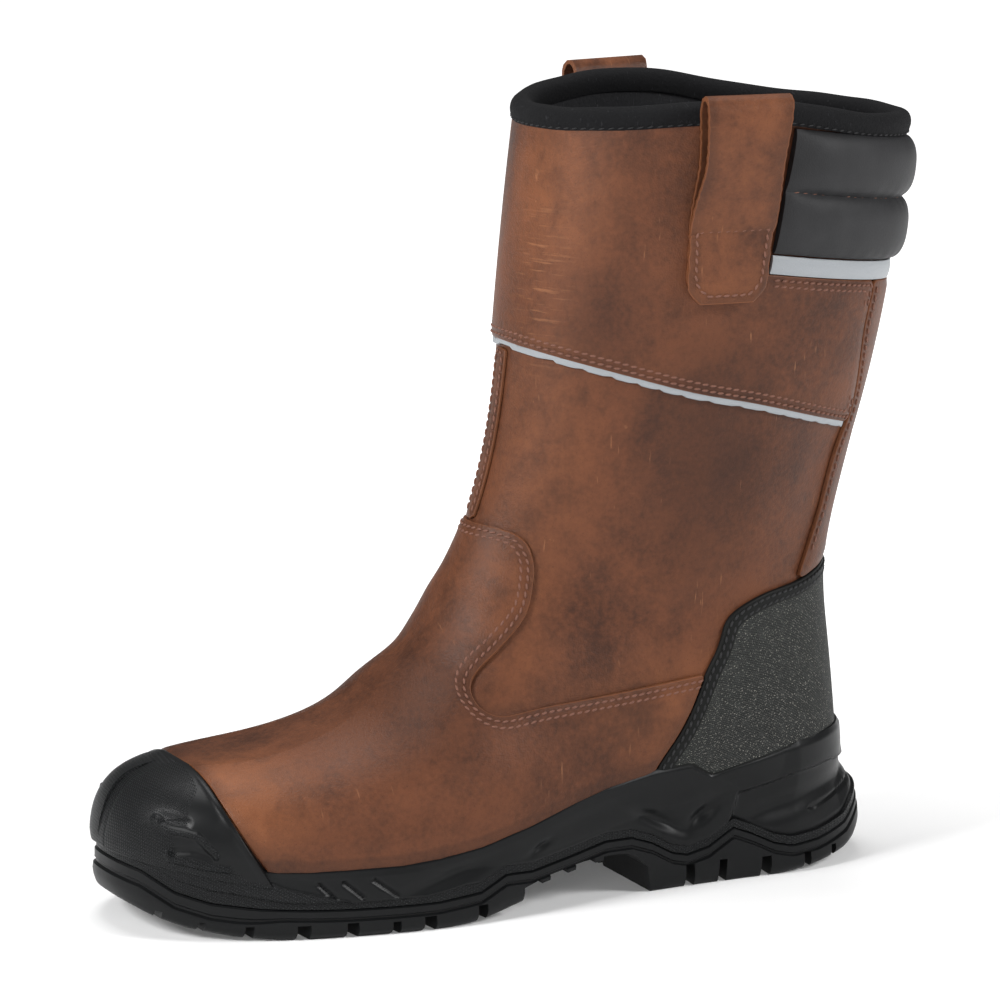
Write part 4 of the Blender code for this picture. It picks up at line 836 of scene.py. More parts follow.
def leather_finish(name, strap=False):
    """Oiled brown leather: mottled, with painted highlights and painted shade in set places, painted shade
    along the sole's rim, darker towards cut edges, scuffed light, with a raw light cut edge.
    """
    tone = colours()
    f = Finish(name, Specular_IOR_Level=0.20)
    inner = f.flag("inner")
    cloud = f.noise(15.0, 4.0, 0.6, twist=0.5)
    blotch = f.noise(95.0, 4.0, 0.62, twist=0.4)
    fine = f.noise(520.0, 3.0, 0.6)
    pores = f.cells(1500.0)
    blend = (cloud * 0.50 + blotch * 0.24 + fine * 0.26).step(0.32, 0.64)
    base = f.mix(blend, tone.dark_leather, tone.leather)
    warm = (cloud * 0.6 + blotch * 0.4).step(0.36, 0.66)
    if strap:
        base = f.mix(warm * 0.30, base, tone.light_leather)
    else:
        # painted highlights in the light tone where the lamps light the leather, and painted shade in the
        # dark tone where it lies in shade
        lit, painted_shade_mask = f.spots(PAINTED_HIGHLIGHTS), f.spots(PAINTED_SHADE)
        base = f.mix(((warm * 0.6 + 0.4) * (lit * 0.62 + 0.06)).held(), base, tone.light_leather)
        # painted shade: the dark tone in the shaded places, broken up by the mottling
        base = f.mix((painted_shade_mask * (0.35 + blotch * 0.5)).held() * 0.75, base, tone.dark_leather)
        level = f.noise(1.0, 3.0, 0.6, source=f.stretched((70.0, 70.0, 900.0)))
        base = f.mix(f.spots(RUBBED) * level.step(0.54, 0.72) * 0.30, base, tone.scuff)
    scratch = f.noise(1.0, 2.0, 0.5, source=f.stretched((40.0, 700.0, 90.0), (0.5, 0.3, 0.2)))
    streak = f.noise(1.0, 2.0, 0.5, source=f.stretched((500.0, 45.0, 300.0), (0.2, 0.9, 0.4)))
    marks = (scratch.step(0.67, 0.77) + streak.step(0.71, 0.80)) * f.noise(42.0, 2.0).step(0.50, 0.64)
    base = f.mix((marks * 0.35).held(), base, tone.scuff)
    specks = f.noise(1900.0, 2.0, 0.5).step(0.60, 0.74)
    base = f.mix(specks * 0.40, base, tone.dark_leather)
    # darker within 6 mm of a panel's cut edge
    darker_edges_and_rim_shade = inner.step(0.0060, 0.0008)
    if not strap:
        # painted shade: the upper's pieces darken within about 4 mm of the sole's rim
        darker_edges_and_rim_shade = (darker_edges_and_rim_shade * 0.6 + f.flag("above").step(0.0048, 0.0030) * 0.9).held()
    base = f.mix(darker_edges_and_rim_shade * 0.40, base, tone.dark_leather)
    base = f.mix(inner.step(0.00045, 0.00015) * 0.35, base, tone.light_leather)
    grain = pores * 0.5 + fine * 0.7 + blotch * 0.3
    rough = 0.41 + blotch * 0.18 - darker_edges_and_rim_shade * 0.05 + marks.held() * 0.12
    normal = f.bump(grain, 0.00035, 0.55)
    normal = f.bump(marks.held(), 0.00015, 0.5, normal)
    return f.feed(Base_Color=base, Roughness=rough, Normal=normal)


def moulded_finish(name, tone, rough=0.33):
    """Black moulding: smooth satin, and finely pebbled where the piece says so, with a painted highlight on
    each pebble.
    """
    f = Finish(name, Specular_IOR_Level=0.16)
    pebbled = f.flag("pebbled")
    aside = f.axis(0).math("ABSOLUTE")
    along, up = (f.axis(1) + aside * 0.7) * DOTS, (f.axis(2) - aside * 0.5) * DOTS
    dots = (along.math("COSINE") + (up * 0.866 - along * 0.5).math("COSINE")
            + (up * 0.866 + along * 0.5).math("COSINE")).step(-0.4, 2.2)
    cloud = f.noise(60.0, 3.0)
    dust = f.noise(1400.0, 2.0).step(0.70, 0.80) * f.noise(50.0).step(0.45, 0.65)
    base = f.mix((cloud * 0.5).held(), tone, tint(tone, 1.8))
    # painted highlight: each pebble is lighter where it stands highest
    base = f.mix(pebbled * dots * 0.7, base, tint(tone, 4.5))
    base = f.mix(dust * 0.35, base, tint(tone, 10))
    worn = f.noise(420.0, 3.0)
    normal = f.bump(worn, 0.00008, 0.30)
    normal = f.bump(dots * pebbled, 0.00042, 0.9, normal)
    return f.feed(Base_Color=base, Roughness=rough + worn * 0.08 + pebbled * 0.06, Normal=normal)


def fabric_finish(name):
    """Coated fabric with a diagonal weave, silvery specks, and a smooth border where it is turned in."""
    tone = colours().fabric
    f = Finish(name, Specular_IOR_Level=0.13)
    inner, cloth = f.flag("inner"), f.flag("cloth", "Vector")
    along, up = f.axis(0, cloth), f.axis(1, cloth)
    twill = (along * 4600.0 + up * 5600.0).math("SINE") * 0.5 + 0.5
    across = (along * 5600.0 - up * 3000.0).math("SINE") * 0.5 + 0.5
    weave = twill * 0.65 + across * 0.35
    border = inner.step(0.0054, 0.0049)
    specks = f.noise(1500.0, 1.0, 0.4, source=cloth).step(0.63, 0.70)
    base = f.mix(weave * 0.8, tint(tone, 0.55), tint(tone, 2.2))
    base = f.mix(f.noise(300.0, 3.0).step(0.45, 0.70) * 0.35, base, tint(tone, 2.4))
    base = f.mix(specks * 0.75, base, (0.26, 0.25, 0.22))
    base = f.mix(border, base, tint(tone, 0.35))
    normal = f.bump(weave * (1 - border), 0.00030, 0.8)
    normal = f.bump(f.noise(700.0, 2.0) * border, 0.00020, 0.5, normal)
    return f.feed(Base_Color=base, Roughness=0.62 - border * 0.10, Normal=normal)


def pad_finish(name):
    """Soft black cover, fine-grained."""
    f = Finish(name, Specular_IOR_Level=0.13)
    tone = colours().pad
    grain = f.cells(1700.0) * 0.6 + f.noise(1300.0, 2.0) * 0.4
    base = f.mix(f.noise(70.0, 3.0), tint(tone, 0.8), tint(tone, 1.5))
    return f.feed(Base_Color=base, Roughness=0.50 + grain * 0.08, Normal=f.bump(grain, 0.00018, 0.5))


def reflective_finish(name):
    """Grey reflective tape with a fine mesh of beads."""
    f = Finish(name, Specular_IOR_Level=0.5)
    tone = colours().reflective
    beads = f.cells(2600.0)
    soil = f.noise(160.0, 4.0, 0.65).step(0.52, 0.75)
    base = f.mix(beads * 0.5, tint(tone, 0.46), tint(tone, 0.58))
    base = f.mix(soil * 0.35, base, tint(tone, 0.45))
    return f.feed(Base_Color=base, Roughness=0.42 + beads * 0.15, Normal=f.bump(beads, 0.00012, 0.5))


def nap_finish(name, tone, coarse=900.0):
    """Suede, fleece or felt: a dark nap with lighter stray fibres."""
    f = Finish(name, Specular_IOR_Level=0.15)
    nap = f.noise(coarse, 4.0, 0.7)
    combed = f.stretched((260.0, 1500.0, 420.0), (0.6, 0.2, 0.9))
    fibres = f.noise(1.0, 2.0, 0.5, source=combed).step(0.64, 0.74)
    base = f.mix(nap, tint(tone, 0.6), tint(tone, 2.0))
    base = f.mix(fibres * 0.35, base, tint(tone, 9))
    normal = f.bump(nap + fibres * 0.4, 0.00060, 0.9)
    return f.feed(Base_Color=base, Roughness=0.85 + nap * 0.10, Normal=normal)


def thread_finish(name, tone):
    """Twisted thread."""
    f = Finish(name, Specular_IOR_Level=0.3)
    twist = f.noise(2200.0, 2.0)
    base = f.mix(twist, tint(tone, 0.6), tint(tone, 1.35))
    return f.feed(Base_Color=base, Roughness=0.6 + twist * 0.15, Normal=f.bump(twist, 0.00015, 0.6))


def floor_finish(name, tone):
    """Pale matt floor."""
    f = Finish(name, Specular_IOR_Level=0.1, Emission_Strength=1.0)
    near = f.spot((0.0, 0.0, 0.0), (0.85, 0.85, 0.85))
    glow = f.mix(near, (0.94, 0.94, 0.94), (0.10, 0.10, 0.10))
    dust = f.noise(3.0, 3.0)
    base = f.mix(dust * 0.3, tone, tint(tone, 0.985))
    return f.feed(Base_Color=base, Roughness=0.75 + dust * 0.05, Emission_Color=glow)


FINISHES = {
    "leather": leather_finish,
    "strap": lambda n: leather_finish(n, strap=True),
    "moulding": lambda n: moulded_finish(n, colours().moulding),
    "rubber": lambda n: moulded_finish(n, colours().rubber, 0.38),
    "fabric": fabric_finish,
    "pad": pad_finish,
    "reflective": reflective_finish,
    "suede": lambda n: nap_finish(n, colours().binding),
    "lining": lambda n: nap_finish(n, (0.012, 0.012, 0.013), 600.0),
    "felt": lambda n: nap_finish(n, (0.030, 0.030, 0.032), 1200.0),
    "brown_thread": lambda n: thread_finish(n, colours().thread),
    "black_thread": lambda n: thread_finish(n, (0.016, 0.016, 0.017)),
    "floor": lambda n: floor_finish(n, colours().floor),
}


def finish(name):
    """A finish, made once."""
    if name not in bpy.data.materials:
        FINISHES[name](name)
    return bpy.data.materials[name]


SURFACES = {}


def surface(name="boot"):
    """The fine grid over the whole upper, or the finer one over its toe, made once."""
    if name not in SURFACES:
        if name == "toe":
            SURFACES[name] = Surface(np.linspace(0, 0.15, 150), 0.19 * np.linspace(0, 1, 250) ** 1.7, False)
        else:
            SURFACES[name] = Surface(np.linspace(0, 1, 181) ** 1.15, shares(125))
    return SURFACES[name]


def shifted(line, dy=0.0, dz=0.0):
    """A side-view line moved along Y and Z."""
    return np.array(line, float) + (dy, dz)


def falling(y, height):
    """A line of the pad, level with its height at PAD_FRONT and falling to the back."""
    return height + PAD_SLOPE * (np.asarray(y) - PAD_FRONT)


def pad_front(height):
    """Front edge of band and pad, at a height given at PAD_FRONT."""
    return PAD_FRONT + PAD_LEAN * (height - BAND_LOW)


def within(grid, *parts):
    """Depth inside the closed outline that side-view lines and points make together."""
    return depth_inside(np.concatenate(parts), grid.y, grid.z)


def vamp_field(grid):
    """Depth inside the vamp's outline."""
    cap, rear = shifted(through(CAP_EDGE, 40), GAP * 2), shifted(through(COUNTER_EDGE, 60), -GAP * 2)
    rear = rear[rear[:, 1] < STRIP_TOP]
    edge = through(VAMP_EDGE, 120)
    edge = edge[edge[:, 0] < rear[0, 0]]
    return within(grid, edge, rear, [(rear[-1, 0], 0.0), (cap[-1, 0], 0.0)], cap[::-1])


def counter_field(grid):
    """Depth inside the heel counter's outline."""
    return within(grid, through(COUNTER_EDGE, 80),
                  [(COUNTER_FOOT, 0.0), (FAR_HEEL, 0.0), (FAR_HEEL, COUNTER_TOP)])


def cuff_line(clear):
    """The cuff's lower edge, up to a clearance ahead of the back stay."""
    line = through(CUFF_EDGE, 60)
    return line[line[:, 0] < BACK_STAY_EDGE[3][0] - clear]


def cuff_field(grid):
    """Depth inside the cuff's outline: full height in front, cut down behind for band and pad."""
    low, stay = cuff_line(0.0012), shifted(through(BACK_STAY_EDGE, 40), -GAP * 2)
    stay = stay[(stay[:, 1] > low[-1, 1]) & (stay[:, 1] < falling(stay[:, 0], BAND_LOW) - GAP)][::-1]
    ledge = [(CUFF_LEDGE, falling(CUFF_LEDGE, BAND_LOW) - GAP), (PAD_FRONT - 2 * GAP, BAND_LOW - GAP)]
    top = [(pad_front(PAD_TOP) - 2 * GAP, FAR_UP), (CUFF_AHEAD, FAR_UP), (CUFF_AHEAD, CUFF_START)]
    return within(grid, low, stay, ledge, top)


def piping_field(grid):
    """Depth inside the strip of piping under the cuff."""
    line = cuff_line(0.0016)
    return within(grid, shifted(line, dz=0.0008), shifted(line, dz=-GAP - PIPING)[::-1])


def back_stay_field(grid):
    """Depth inside the stay down the back seam."""
    edge, counter = through(BACK_STAY_EDGE, 60), through(COUNTER_EDGE, 60)
    order = np.argsort(counter[:, 0])
    floor_y = np.linspace(BACK_STAY_FOOT, FAR_HEEL, 16)
    floor = np.stack([floor_y, np.interp(floor_y, counter[order, 0], counter[order, 1]) + GAP * 2], 1)
    edge = edge[(edge[:, 1] > floor[0, 1]) & (edge[:, 1] < falling(edge[:, 0], BAND_LOW) - GAP)]
    top = [(y, falling(y, BAND_LOW) - GAP) for y in (FAR_HEEL, BACK_STAY_TOP)]
    return within(grid, edge, floor, top)


def front_stay_field(grid):
    """Depth inside the narrow stay down the shin."""
    high = np.interp(grid.y, *through(CUFF_EDGE, 40).T) - PIPING - GAP * 3 - grid.z
    low = grid.z - np.interp(grid.y, *np.array(VAMP_EDGE[:4]).T) - GAP * 3
    aside = FRONT_STAY_HALF - np.abs(grid.points[..., 0] - SHIFT[0] - FRONT_STAY_MIDDLE)
    return np.minimum.reduce([high, low, aside, FRONT_STAY_DEEP - grid.y])


def cap_field(grid):
    """Depth inside the toe cap's outline."""
    return within(grid, through(CAP_EDGE, 60),
                  [(CAP_EDGE[-1][0], 0.0), (FAR_TOE, 0.0), (FAR_TOE, CAP_HIGH)])


def line_groove(y, z, points, half):
    """How near a side-view polyline lies, 1 on it and 0 beyond half its width."""
    far = np.minimum.reduce([to_segment(y, z, *ends) for ends in zip(points[:-1], points[1:])])
    return 1 - ramp(0, half, far)


def pebbled_field(y, z, soft=0.0005):
    """1 where the moulding is pebbled and 0 where it is smooth, in the side view."""
    border = np.interp(z, *np.array(PEBBLED).T)
    return ramp(soft, -soft, y - border)


class BOOT_OT_upper(bpy.types.Operator):
    """Builds the leather upper and its lining"""
    bl_idname = "boot.upper"
    bl_label = "Upper and lining"

    def execute(self, context):
        grid = surface()
        inner = grid.points - grid.out * UPPER_DEEP
        far_from_edge = np.full(grid.y.shape, 0.02)
        item = walled("upper_leather", grid.points, inner, finish("leather"),
                      flags={"inner": far_from_edge, "above": grid.above})
        stand_for(item, "brown_leather", "upper")
        coarse, out = grid.points[::3, ::2], grid.out[::3, ::2]
        lining = walled("lining", coarse - out * LINING_FROM, coarse - out * LINING_TO, finish("lining"))
        stand_for(lining, "insole_felt")
        return {"FINISHED"}


class BOOT_OT_overlays(bpy.types.Operator):
    """Builds vamp, counter, cuff, piping and stays"""
    bl_idname = "boot.overlays"
    bl_label = "Overlays"

    def execute(self, context):
        grid = surface()
        layer = sizes().layer
        leather = "leather", "brown_leather"
        table = [
            # name, frame node, field, finish and slot, thickness
            ("vamp_leather", "vamp", vamp_field, leather, layer),
            ("counter_fabric", "heel_counter", counter_field, ("fabric", "coated_fabric"), layer),
            ("cuff_leather", "cuff", cuff_field, leather, layer),
            ("piping_strip", "reflective_piping", piping_field, ("reflective", "reflective_silver"),
             PIPING_THICK),
            ("back_stay_leather", "back_stay", back_stay_field, leather, layer),
            ("front_stay_leather", "front_stay", front_stay_field, leather, layer * 0.7),
        ]
        for name, node, field, (look, slot), thick in table:
            item = panel(name, grid, field(grid), finish(look), thick, soft=0.0035)
            stand_for(item, slot, node)
        return {"FINISHED"}


class BOOT_OT_toe_cap(bpy.types.Operator):
    """Builds the scuff cap with its raised and pebbled relief"""
    bl_idname = "boot.toe_cap"
    bl_label = "Toe cap"

    def execute(self, context):
        grid = surface("toe")
        field = cap_field(grid)
        ahead = np.clip((-0.120 - grid.y) / 0.030, 0, 1)
        low = np.clip((0.054 - grid.z) / 0.026, 0, 1)
        thick = CAP_REAR + (CAP_FRONT - CAP_REAR) * np.maximum(ahead, low * 0.6) * np.clip(low * 1.2, 0, 1)
        x = grid.points[..., 0] - SHIFT[0]
        thick = thick + pebbled_field(grid.y, grid.z, 0.0016) * 0.0003
        for line, half, rise in CAP_RELIEF:
            thick = thick + line_groove(grid.y, grid.z, line, half) * rise
        thick = thick + np.exp(-((field - 0.0014) / 0.0009) ** 2) * 0.0003
        parting_line = np.exp(-((x - PARTING_X) / 0.0004) ** 2) * (x <= 0)
        thick = thick - 0.00035 * parting_line * ramp(0.052, 0.047, grid.z)
        item = panel("toe_cap_moulding", grid, field, finish("moulding"), thick, edge=0.0007, down=1.0)
        mesh = item.data
        places = np.empty(3 * len(mesh.vertices))
        mesh.vertices.foreach_get("co", places)
        y, z = (places.reshape(-1, 3) - SHIFT).T[1:]
        y = y + 0.0015                      # back from the relief to the surface under it
        rough = pebbled_field(y, z)
        for line, _, rise in CAP_RELIEF:
            if rise > 0:
                rough = np.maximum(rough, line_groove(y, z, line, 0.0012))
        mesh.attributes.new("pebbled", "FLOAT", "POINT").data.foreach_set("value", rough)
        stand_for(item, "black_moulding", "toe_cap")
        return {"FINISHED"}


def sole_stations(fine):
    """Places along the sole, close together round both ends."""
    toe = SOLE_TOE + 0.060 * (1 - np.cos(np.linspace(0, math.pi / 2, 34 * fine)[:-1]))
    heel = SOLE_HEEL - 0.044 * (1 - np.cos(np.linspace(0, math.pi / 2, 28 * fine)[:-1]))
    middle = np.linspace(toe[-1] + 0.002, heel[-1] - 0.002, 75 * fine)
    return np.concatenate([toe, middle, heel[::-1]])


def ground(y):
    """Height of the tread: flat under ball and heel."""
    return np.maximum(np.interp(y, *np.array(TREAD).T), 0.0)


def parting(y):
    """Height of the joint between outsole and midsole."""
    return zigzag(y) - np.interp(y, [-0.050, -0.020], [STRIP_FORE, STRIP_REST])


def pushed(ring, amount):
    """A ring moved outwards in plan by an amount for each point."""
    round_it = np.roll(ring, -1, 0) - np.roll(ring, 1, 0)
    out = np.stack([round_it[:, 1], -round_it[:, 0]], 1)
    out /= np.maximum(np.linalg.norm(out, axis=1, keepdims=True), 1e-9)
    moved = ring.copy()
    moved[:, :2] += out * np.broadcast_to(amount, len(ring))[:, None]
    return moved


def near_bed(above):
    """1 beside the upper and 0 well below the bed it stands on."""
    return ramp(-0.0045, -0.0012, above)


def sole_ring(y, height, inset):
    """Outline of the sole at a height and an inset for each station, flared where the upper is wider."""
    over = height - floor_height(y)
    beside = ramp(*FLARE_AHEAD, y) * ramp(*FLARE_BEHIND, y)
    ends = round_end(y - SOLE_TOE, *SOLE_TOE_NOSE) * round_end(SOLE_HEEL - y, *SOLE_HEEL_NOSE)
    sides = []
    for side in (1, -1):
        width = sole_side[side](y) * ends
        leg = half_width(y, height, side) + SOLE_CLEAR
        width = width + np.maximum(leg + FLARE_RIM - width, 0) * ramp(-0.002, 0.003, over) * beside
        width = width + np.maximum(leg + FLARE_WALL + inset - width, 0) * near_bed(over) * beside
        sides.append(np.stack([centre_x(y) + side * width, y, height], 1))
    ring = np.concatenate([sides[0], sides[1][-2:0:-1]])
    return pushed(ring, -np.concatenate([inset, inset[-2:0:-1]]))


def drawn_in(y, front, back):
    """Stations of the sole drawn in at its ends to the upper's toe and heel."""
    return np.interp(y, [SOLE_TOE, DRAW_FRONT, DRAW_BACK, SOLE_HEEL], [front, DRAW_FRONT, DRAW_BACK, back])


def cup_ring(y, height, clear):
    """Outline of the upper at a height for each station, moved out by a clearance."""
    front = np.interp(height[0], FRONT_LINE[:100, 1], FRONT_LINE[:100, 0])
    back = np.interp(height[-1], BACK_LINE[:130, 1], BACK_LINE[:130, 0])
    return pushed(both_sides(drawn_in(y, front, back), height), clear)


def loaf(name, levels, material, pebbled):
    """A solid from stacked rings, closed across below and above between its two sides."""
    levels = np.array(levels)
    rows, columns = levels.shape[:2]
    index = np.arange(rows * columns).reshape(rows, columns)
    faces = grid_faces(index, True)
    half = columns // 2
    for base, up in ((0, False), ((rows - 1) * columns, True)):
        for j in range(half):
            ring = [base + j, base + j + 1, base + columns - j - 1, base + (columns - j) % columns]
            ring = list(dict.fromkeys(ring))
            faces.append(tuple(ring if up else ring[::-1]))
    return piece(name, levels.reshape(-1, 3) + SHIFT, faces, material,
                 {"pebbled": np.array(pebbled).reshape(-1)}, sharp=32)


def heel_tuck(y):
    """How far the cup leans in at its top."""
    return HEEL_TUCK * np.clip((y - TUCK_FROM) / TUCK_OVER, 0, 1)


def midsole_side(y, z, t):
    """Inset of the midsole's side at places and shares of its height."""
    inset = np.interp(t, [0, 0.05, 0.30, 0.75, 0.93, 1.0], [0.0008, 0.0004, 0.0005, 0.0009, 0.0013, 0.0024])
    inset = inset + heel_tuck(y) * np.interp(t, [0, 0.3, 0.6], [0, 0.8, 1]) + patch(y, z, SIDE_HOLLOWS)
    for ay, az, by, bz in SLASHES:
        inset = inset + 0.0012 * line_groove(y, z, [(ay, az), (by, bz)], 0.0015)
    start = NOTCH_Y - (z - NOTCH_Z) * np.where(z > NOTCH_Z, 1.63, -0.30)
    behind = ramp(-0.0014, 0.0014, y - start)
    under = ramp(0.0008, -0.0008, z - heel_line(y))
    inset = inset + behind * (under * 0.0016 + 0.0002)
    lips = line_groove(y, z, [(0.1120, 0.0232), (0.1310, 0.0262), (0.1470, 0.0290)], 0.0009)
    border = np.interp(z, *np.array(PEBBLED).T)
    lips = lips - 0.5 * np.exp(-((y - border - 0.0010) / 0.0009) ** 2) * (y < PEBBLE_END)
    return inset + lips * 0.0009


def carve(item, cutters):
    """Cuts every cutter out of a piece and removes the cutters."""
    for cutter in cutters:
        modifier = item.modifiers.new("cut", "BOOLEAN")
        modifier.operation, modifier.object, modifier.solver = "DIFFERENCE", cutter, "MANIFOLD"
    seen = item.evaluated_get(bpy.context.evaluated_depsgraph_get())
    mesh = bpy.data.meshes.new_from_object(seen)
    item.modifiers.clear()
    item.data = mesh
    mesh.shade_smooth()
    mesh.set_sharp_from_angle(angle=math.radians(32))
    for cutter in cutters:
        bpy.data.objects.remove(cutter, do_unlink=True)


def cutter(points, faces):
    """A closed cutting shape."""
    mesh = bpy.data.meshes.new("cutter")
    mesh.from_pydata((np.array(points, float) + SHIFT).tolist(), [], faces)
    mesh.update()
    item = bpy.data.objects.new("cutter", mesh)
    bpy.context.scene.collection.objects.link(item)
    return item


def tube(rings):
    """A closed cutting shape from rings of as many points each."""
    n, last = len(rings[0]), len(rings) - 1
    faces = [tuple(range(n)), tuple(range(last * n, (last + 1) * n))[::-1]]
    for a, b in zip(range(0, last * n, n), range(n, (last + 1) * n, n)):
        faces += [(a + k, b + k, b + (k + 1) % n, a + (k + 1) % n) for k in range(n)]
    return cutter([p for ring in rings for p in ring], faces)


def tread_cutters():
    """Arch, chevron grooves and lengthwise channels under the sole."""
    below, reach, out = -0.010, 0.080, []
    height = smooth(SHANK_ARCH)
    foot = NUB_HALF + NUB_SLOPE
    arch = [tuple(p) for p in through(SHANK_ARCH, 24)]
    arch = [p for p in arch if all(abs(p[0] - y) > foot for y in SHANK_NUBS)]
    for y in SHANK_NUBS:
        for dy, drop in ((-foot, 0), (-NUB_HALF, NUB_HEIGHT), (NUB_HALF, NUB_HEIGHT), (foot, 0)):
            arch.append((y + dy, float(height(y + dy)) - drop))
    arch = [(SHANK_ARCH[0][0] - 0.001, below)] + sorted(arch) + [(BREAST_Y + BREAST_LEAN, below)]
    out.append(tube([[(x, y, z) for y, z in arch] for x in (-reach, reach)]))
    for y, ahead, width, depth in GROOVES:
        plan = [(-reach, y - width / 2), (0, y - ahead - width / 2), (reach, y - width / 2),
                (reach, y + width / 2), (0, y - ahead + width / 2), (-reach, y + width / 2)]
        roof = [(px, py + (0.0005 if k < 3 else -0.0005)) for k, (px, py) in enumerate(plan)]
        high = float(ground(y)) + depth
        verts = [(px, py, below) for px, py in plan] + [(px, py, high) for px, py in roof]
        faces = [(0, 5, 4, 1), (1, 4, 3, 2), (6, 7, 10, 11), (7, 8, 9, 10)]
        faces += [(i, (i + 1) % 6, 6 + (i + 1) % 6, 6 + i) for i in range(6)]
        out.append(cutter(verts, faces))
    for x, start, end, width, depth in CHANNELS:
        rings = []
        for y in np.linspace(start, end, 24):
            roof = float(ground(y)) + depth
            rings.append([(x - width / 2, y, below), (x + width / 2, y, below),
                          (x + width / 2 - 0.0006, y, roof), (x - width / 2 + 0.0006, y, roof)])
        out.append(tube(rings))
    return out


class BOOT_OT_sole(bpy.types.Operator):
    """Builds midsole, outsole and insole"""
    bl_idname = "boot.sole"
    bl_label = "Sole"

    def execute(self, context):
        y = sole_stations(3)
        step = zigzag(y) - np.interp(y, [-0.125, -0.105, -0.055, -0.040], [0, 0.0022, 0.0022, 0])
        top, joint = sole_top(y), parting(y) + GAP
        same = np.ones_like(y)
        levels, pebbled = [], []

        def add(ring, rough=0.0):
            levels.append(ring)
            pebbled.append(np.full(len(ring), 1.0) * (rough if np.ndim(rough) == 0 else
                                                      np.concatenate([rough, rough[-2:0:-1]])))

        add(sole_ring(y, joint, same * 0.0018))
        for share in (0.03, 0.35, 0.65, 0.90):
            add(sole_ring(y, joint + (step - joint) * share, same * 0.0013), 1.0)
        add(sole_ring(y, step - 0.0001, same * 0.0013), 0.5)
        for t in np.concatenate([[0.0], np.linspace(0.025, 1, 44)]):
            z = step + (top - step) * t
            add(sole_ring(y, z, midsole_side(y, z, t)), pebbled_field(y, z) * (y < PEBBLE_END))
        add(sole_ring(y, top + 0.0001, same * 0.0030 + heel_tuck(y)))
        floor = floor_height(drawn_in(y, TOE_END, HEEL_END))
        bed = floor - GAP
        add(cup_ring(y, top - 0.0004, SOLE_CLEAR))
        add(cup_ring(y, bed + (top - bed) * 0.5, SOLE_CLEAR))
        add(cup_ring(y, bed, SOLE_CLEAR))
        item = loaf("midsole_moulding", levels, finish("moulding"), pebbled)
        stand_for(item, "black_moulding", "midsole")

        low, high = ground(y), parting(y)
        rings = []
        ahead = ramp(-0.105, -0.125, y)
        for drop, inset in ((0.0, 0.0014), (0.0004, 0.0007), (0.0026, 0.0006), (0.0030, 0.0012),
                            (0.0036, 0.0012), (0.0041, 0.0001)):
            drop = drop * (1 + 0.45 * ahead)
            least = low + 0.0022 * (1 - drop / 0.0070)
            rings.append(sole_ring(y, np.maximum(high - drop, least), same * inset))
        for share, inset in ((0.75, -0.0002), (0.50, 0.0001), (0.25, 0.0007)):
            rings.append(sole_ring(y, low + np.maximum(high - 0.0060 - low, 0.0014) * share, same * inset))
        rings.append(sole_ring(y, low + 0.0006, same * 0.0014))
        rings.append(sole_ring(y, low, same * 0.0022))
        item = loaf("outsole_rubber", rings[::-1], finish("rubber"), np.zeros((len(rings), len(rings[0]))))
        carve(item, tread_cutters())
        stand_for(item, "black_rubber", "outsole")

        inner = -(WALL + INSOLE_CLEAR)
        rings = [cup_ring(y, floor + rise, inner - less) for rise, less in
                 ((0, 0.0006), (0.001, 0), (INSOLE_THICK - 0.0008, 0), (INSOLE_THICK, 0.0008))]
        item = loaf("insole_felt", rings, finish("felt"), np.zeros((4, len(rings[0]))))
        stand_for(item, "insole_felt", "insole")
        return {"FINISHED"}


def wrapped(heights):
    """Rows of points round the back of the leg, one for each height at PAD_FRONT."""
    out = []
    for height in heights:
        back_y = float(np.interp(height - 0.010, BACK_LINE[:, 1], BACK_LINE[:, 0]))
        for _ in range(4):
            back_y = float(np.interp(falling(back_y, height), BACK_LINE[:, 1], BACK_LINE[:, 0]))
        turn = np.linspace(0, math.pi / 2, WRAP + 1)
        y = pad_front(height) + (back_y - pad_front(height)) * np.sin(turn)
        z = falling(y, height)
        outer = np.stack([centre_x(y) + half_width(y, z, 1), y, z], 1)
        inner = np.stack([centre_x(y) - half_width(y, z, -1), y, z], 1)
        outer[-1, 0] = inner[-1, 0] = centre_x(back_y)
        out.append(np.concatenate([outer, inner[-2::-1]]))
    return np.array(out)


def crown(heights, low, high, rise):
    """Section of a soft roll that stands out between two heights."""
    share = np.clip((heights - low) / (high - low), 0, 1)
    return rise * np.clip(1 - np.abs(2 * share - 1) ** 2.6, 0, 1) ** 0.62


def rim_ring():
    """Points of the upper's rim, with their outward and upward directions."""
    grid = surface()
    up = grid.points[-1] - grid.points[-4]
    return grid.points[-1], grid.out[-1], up / np.linalg.norm(up, axis=1, keepdims=True)


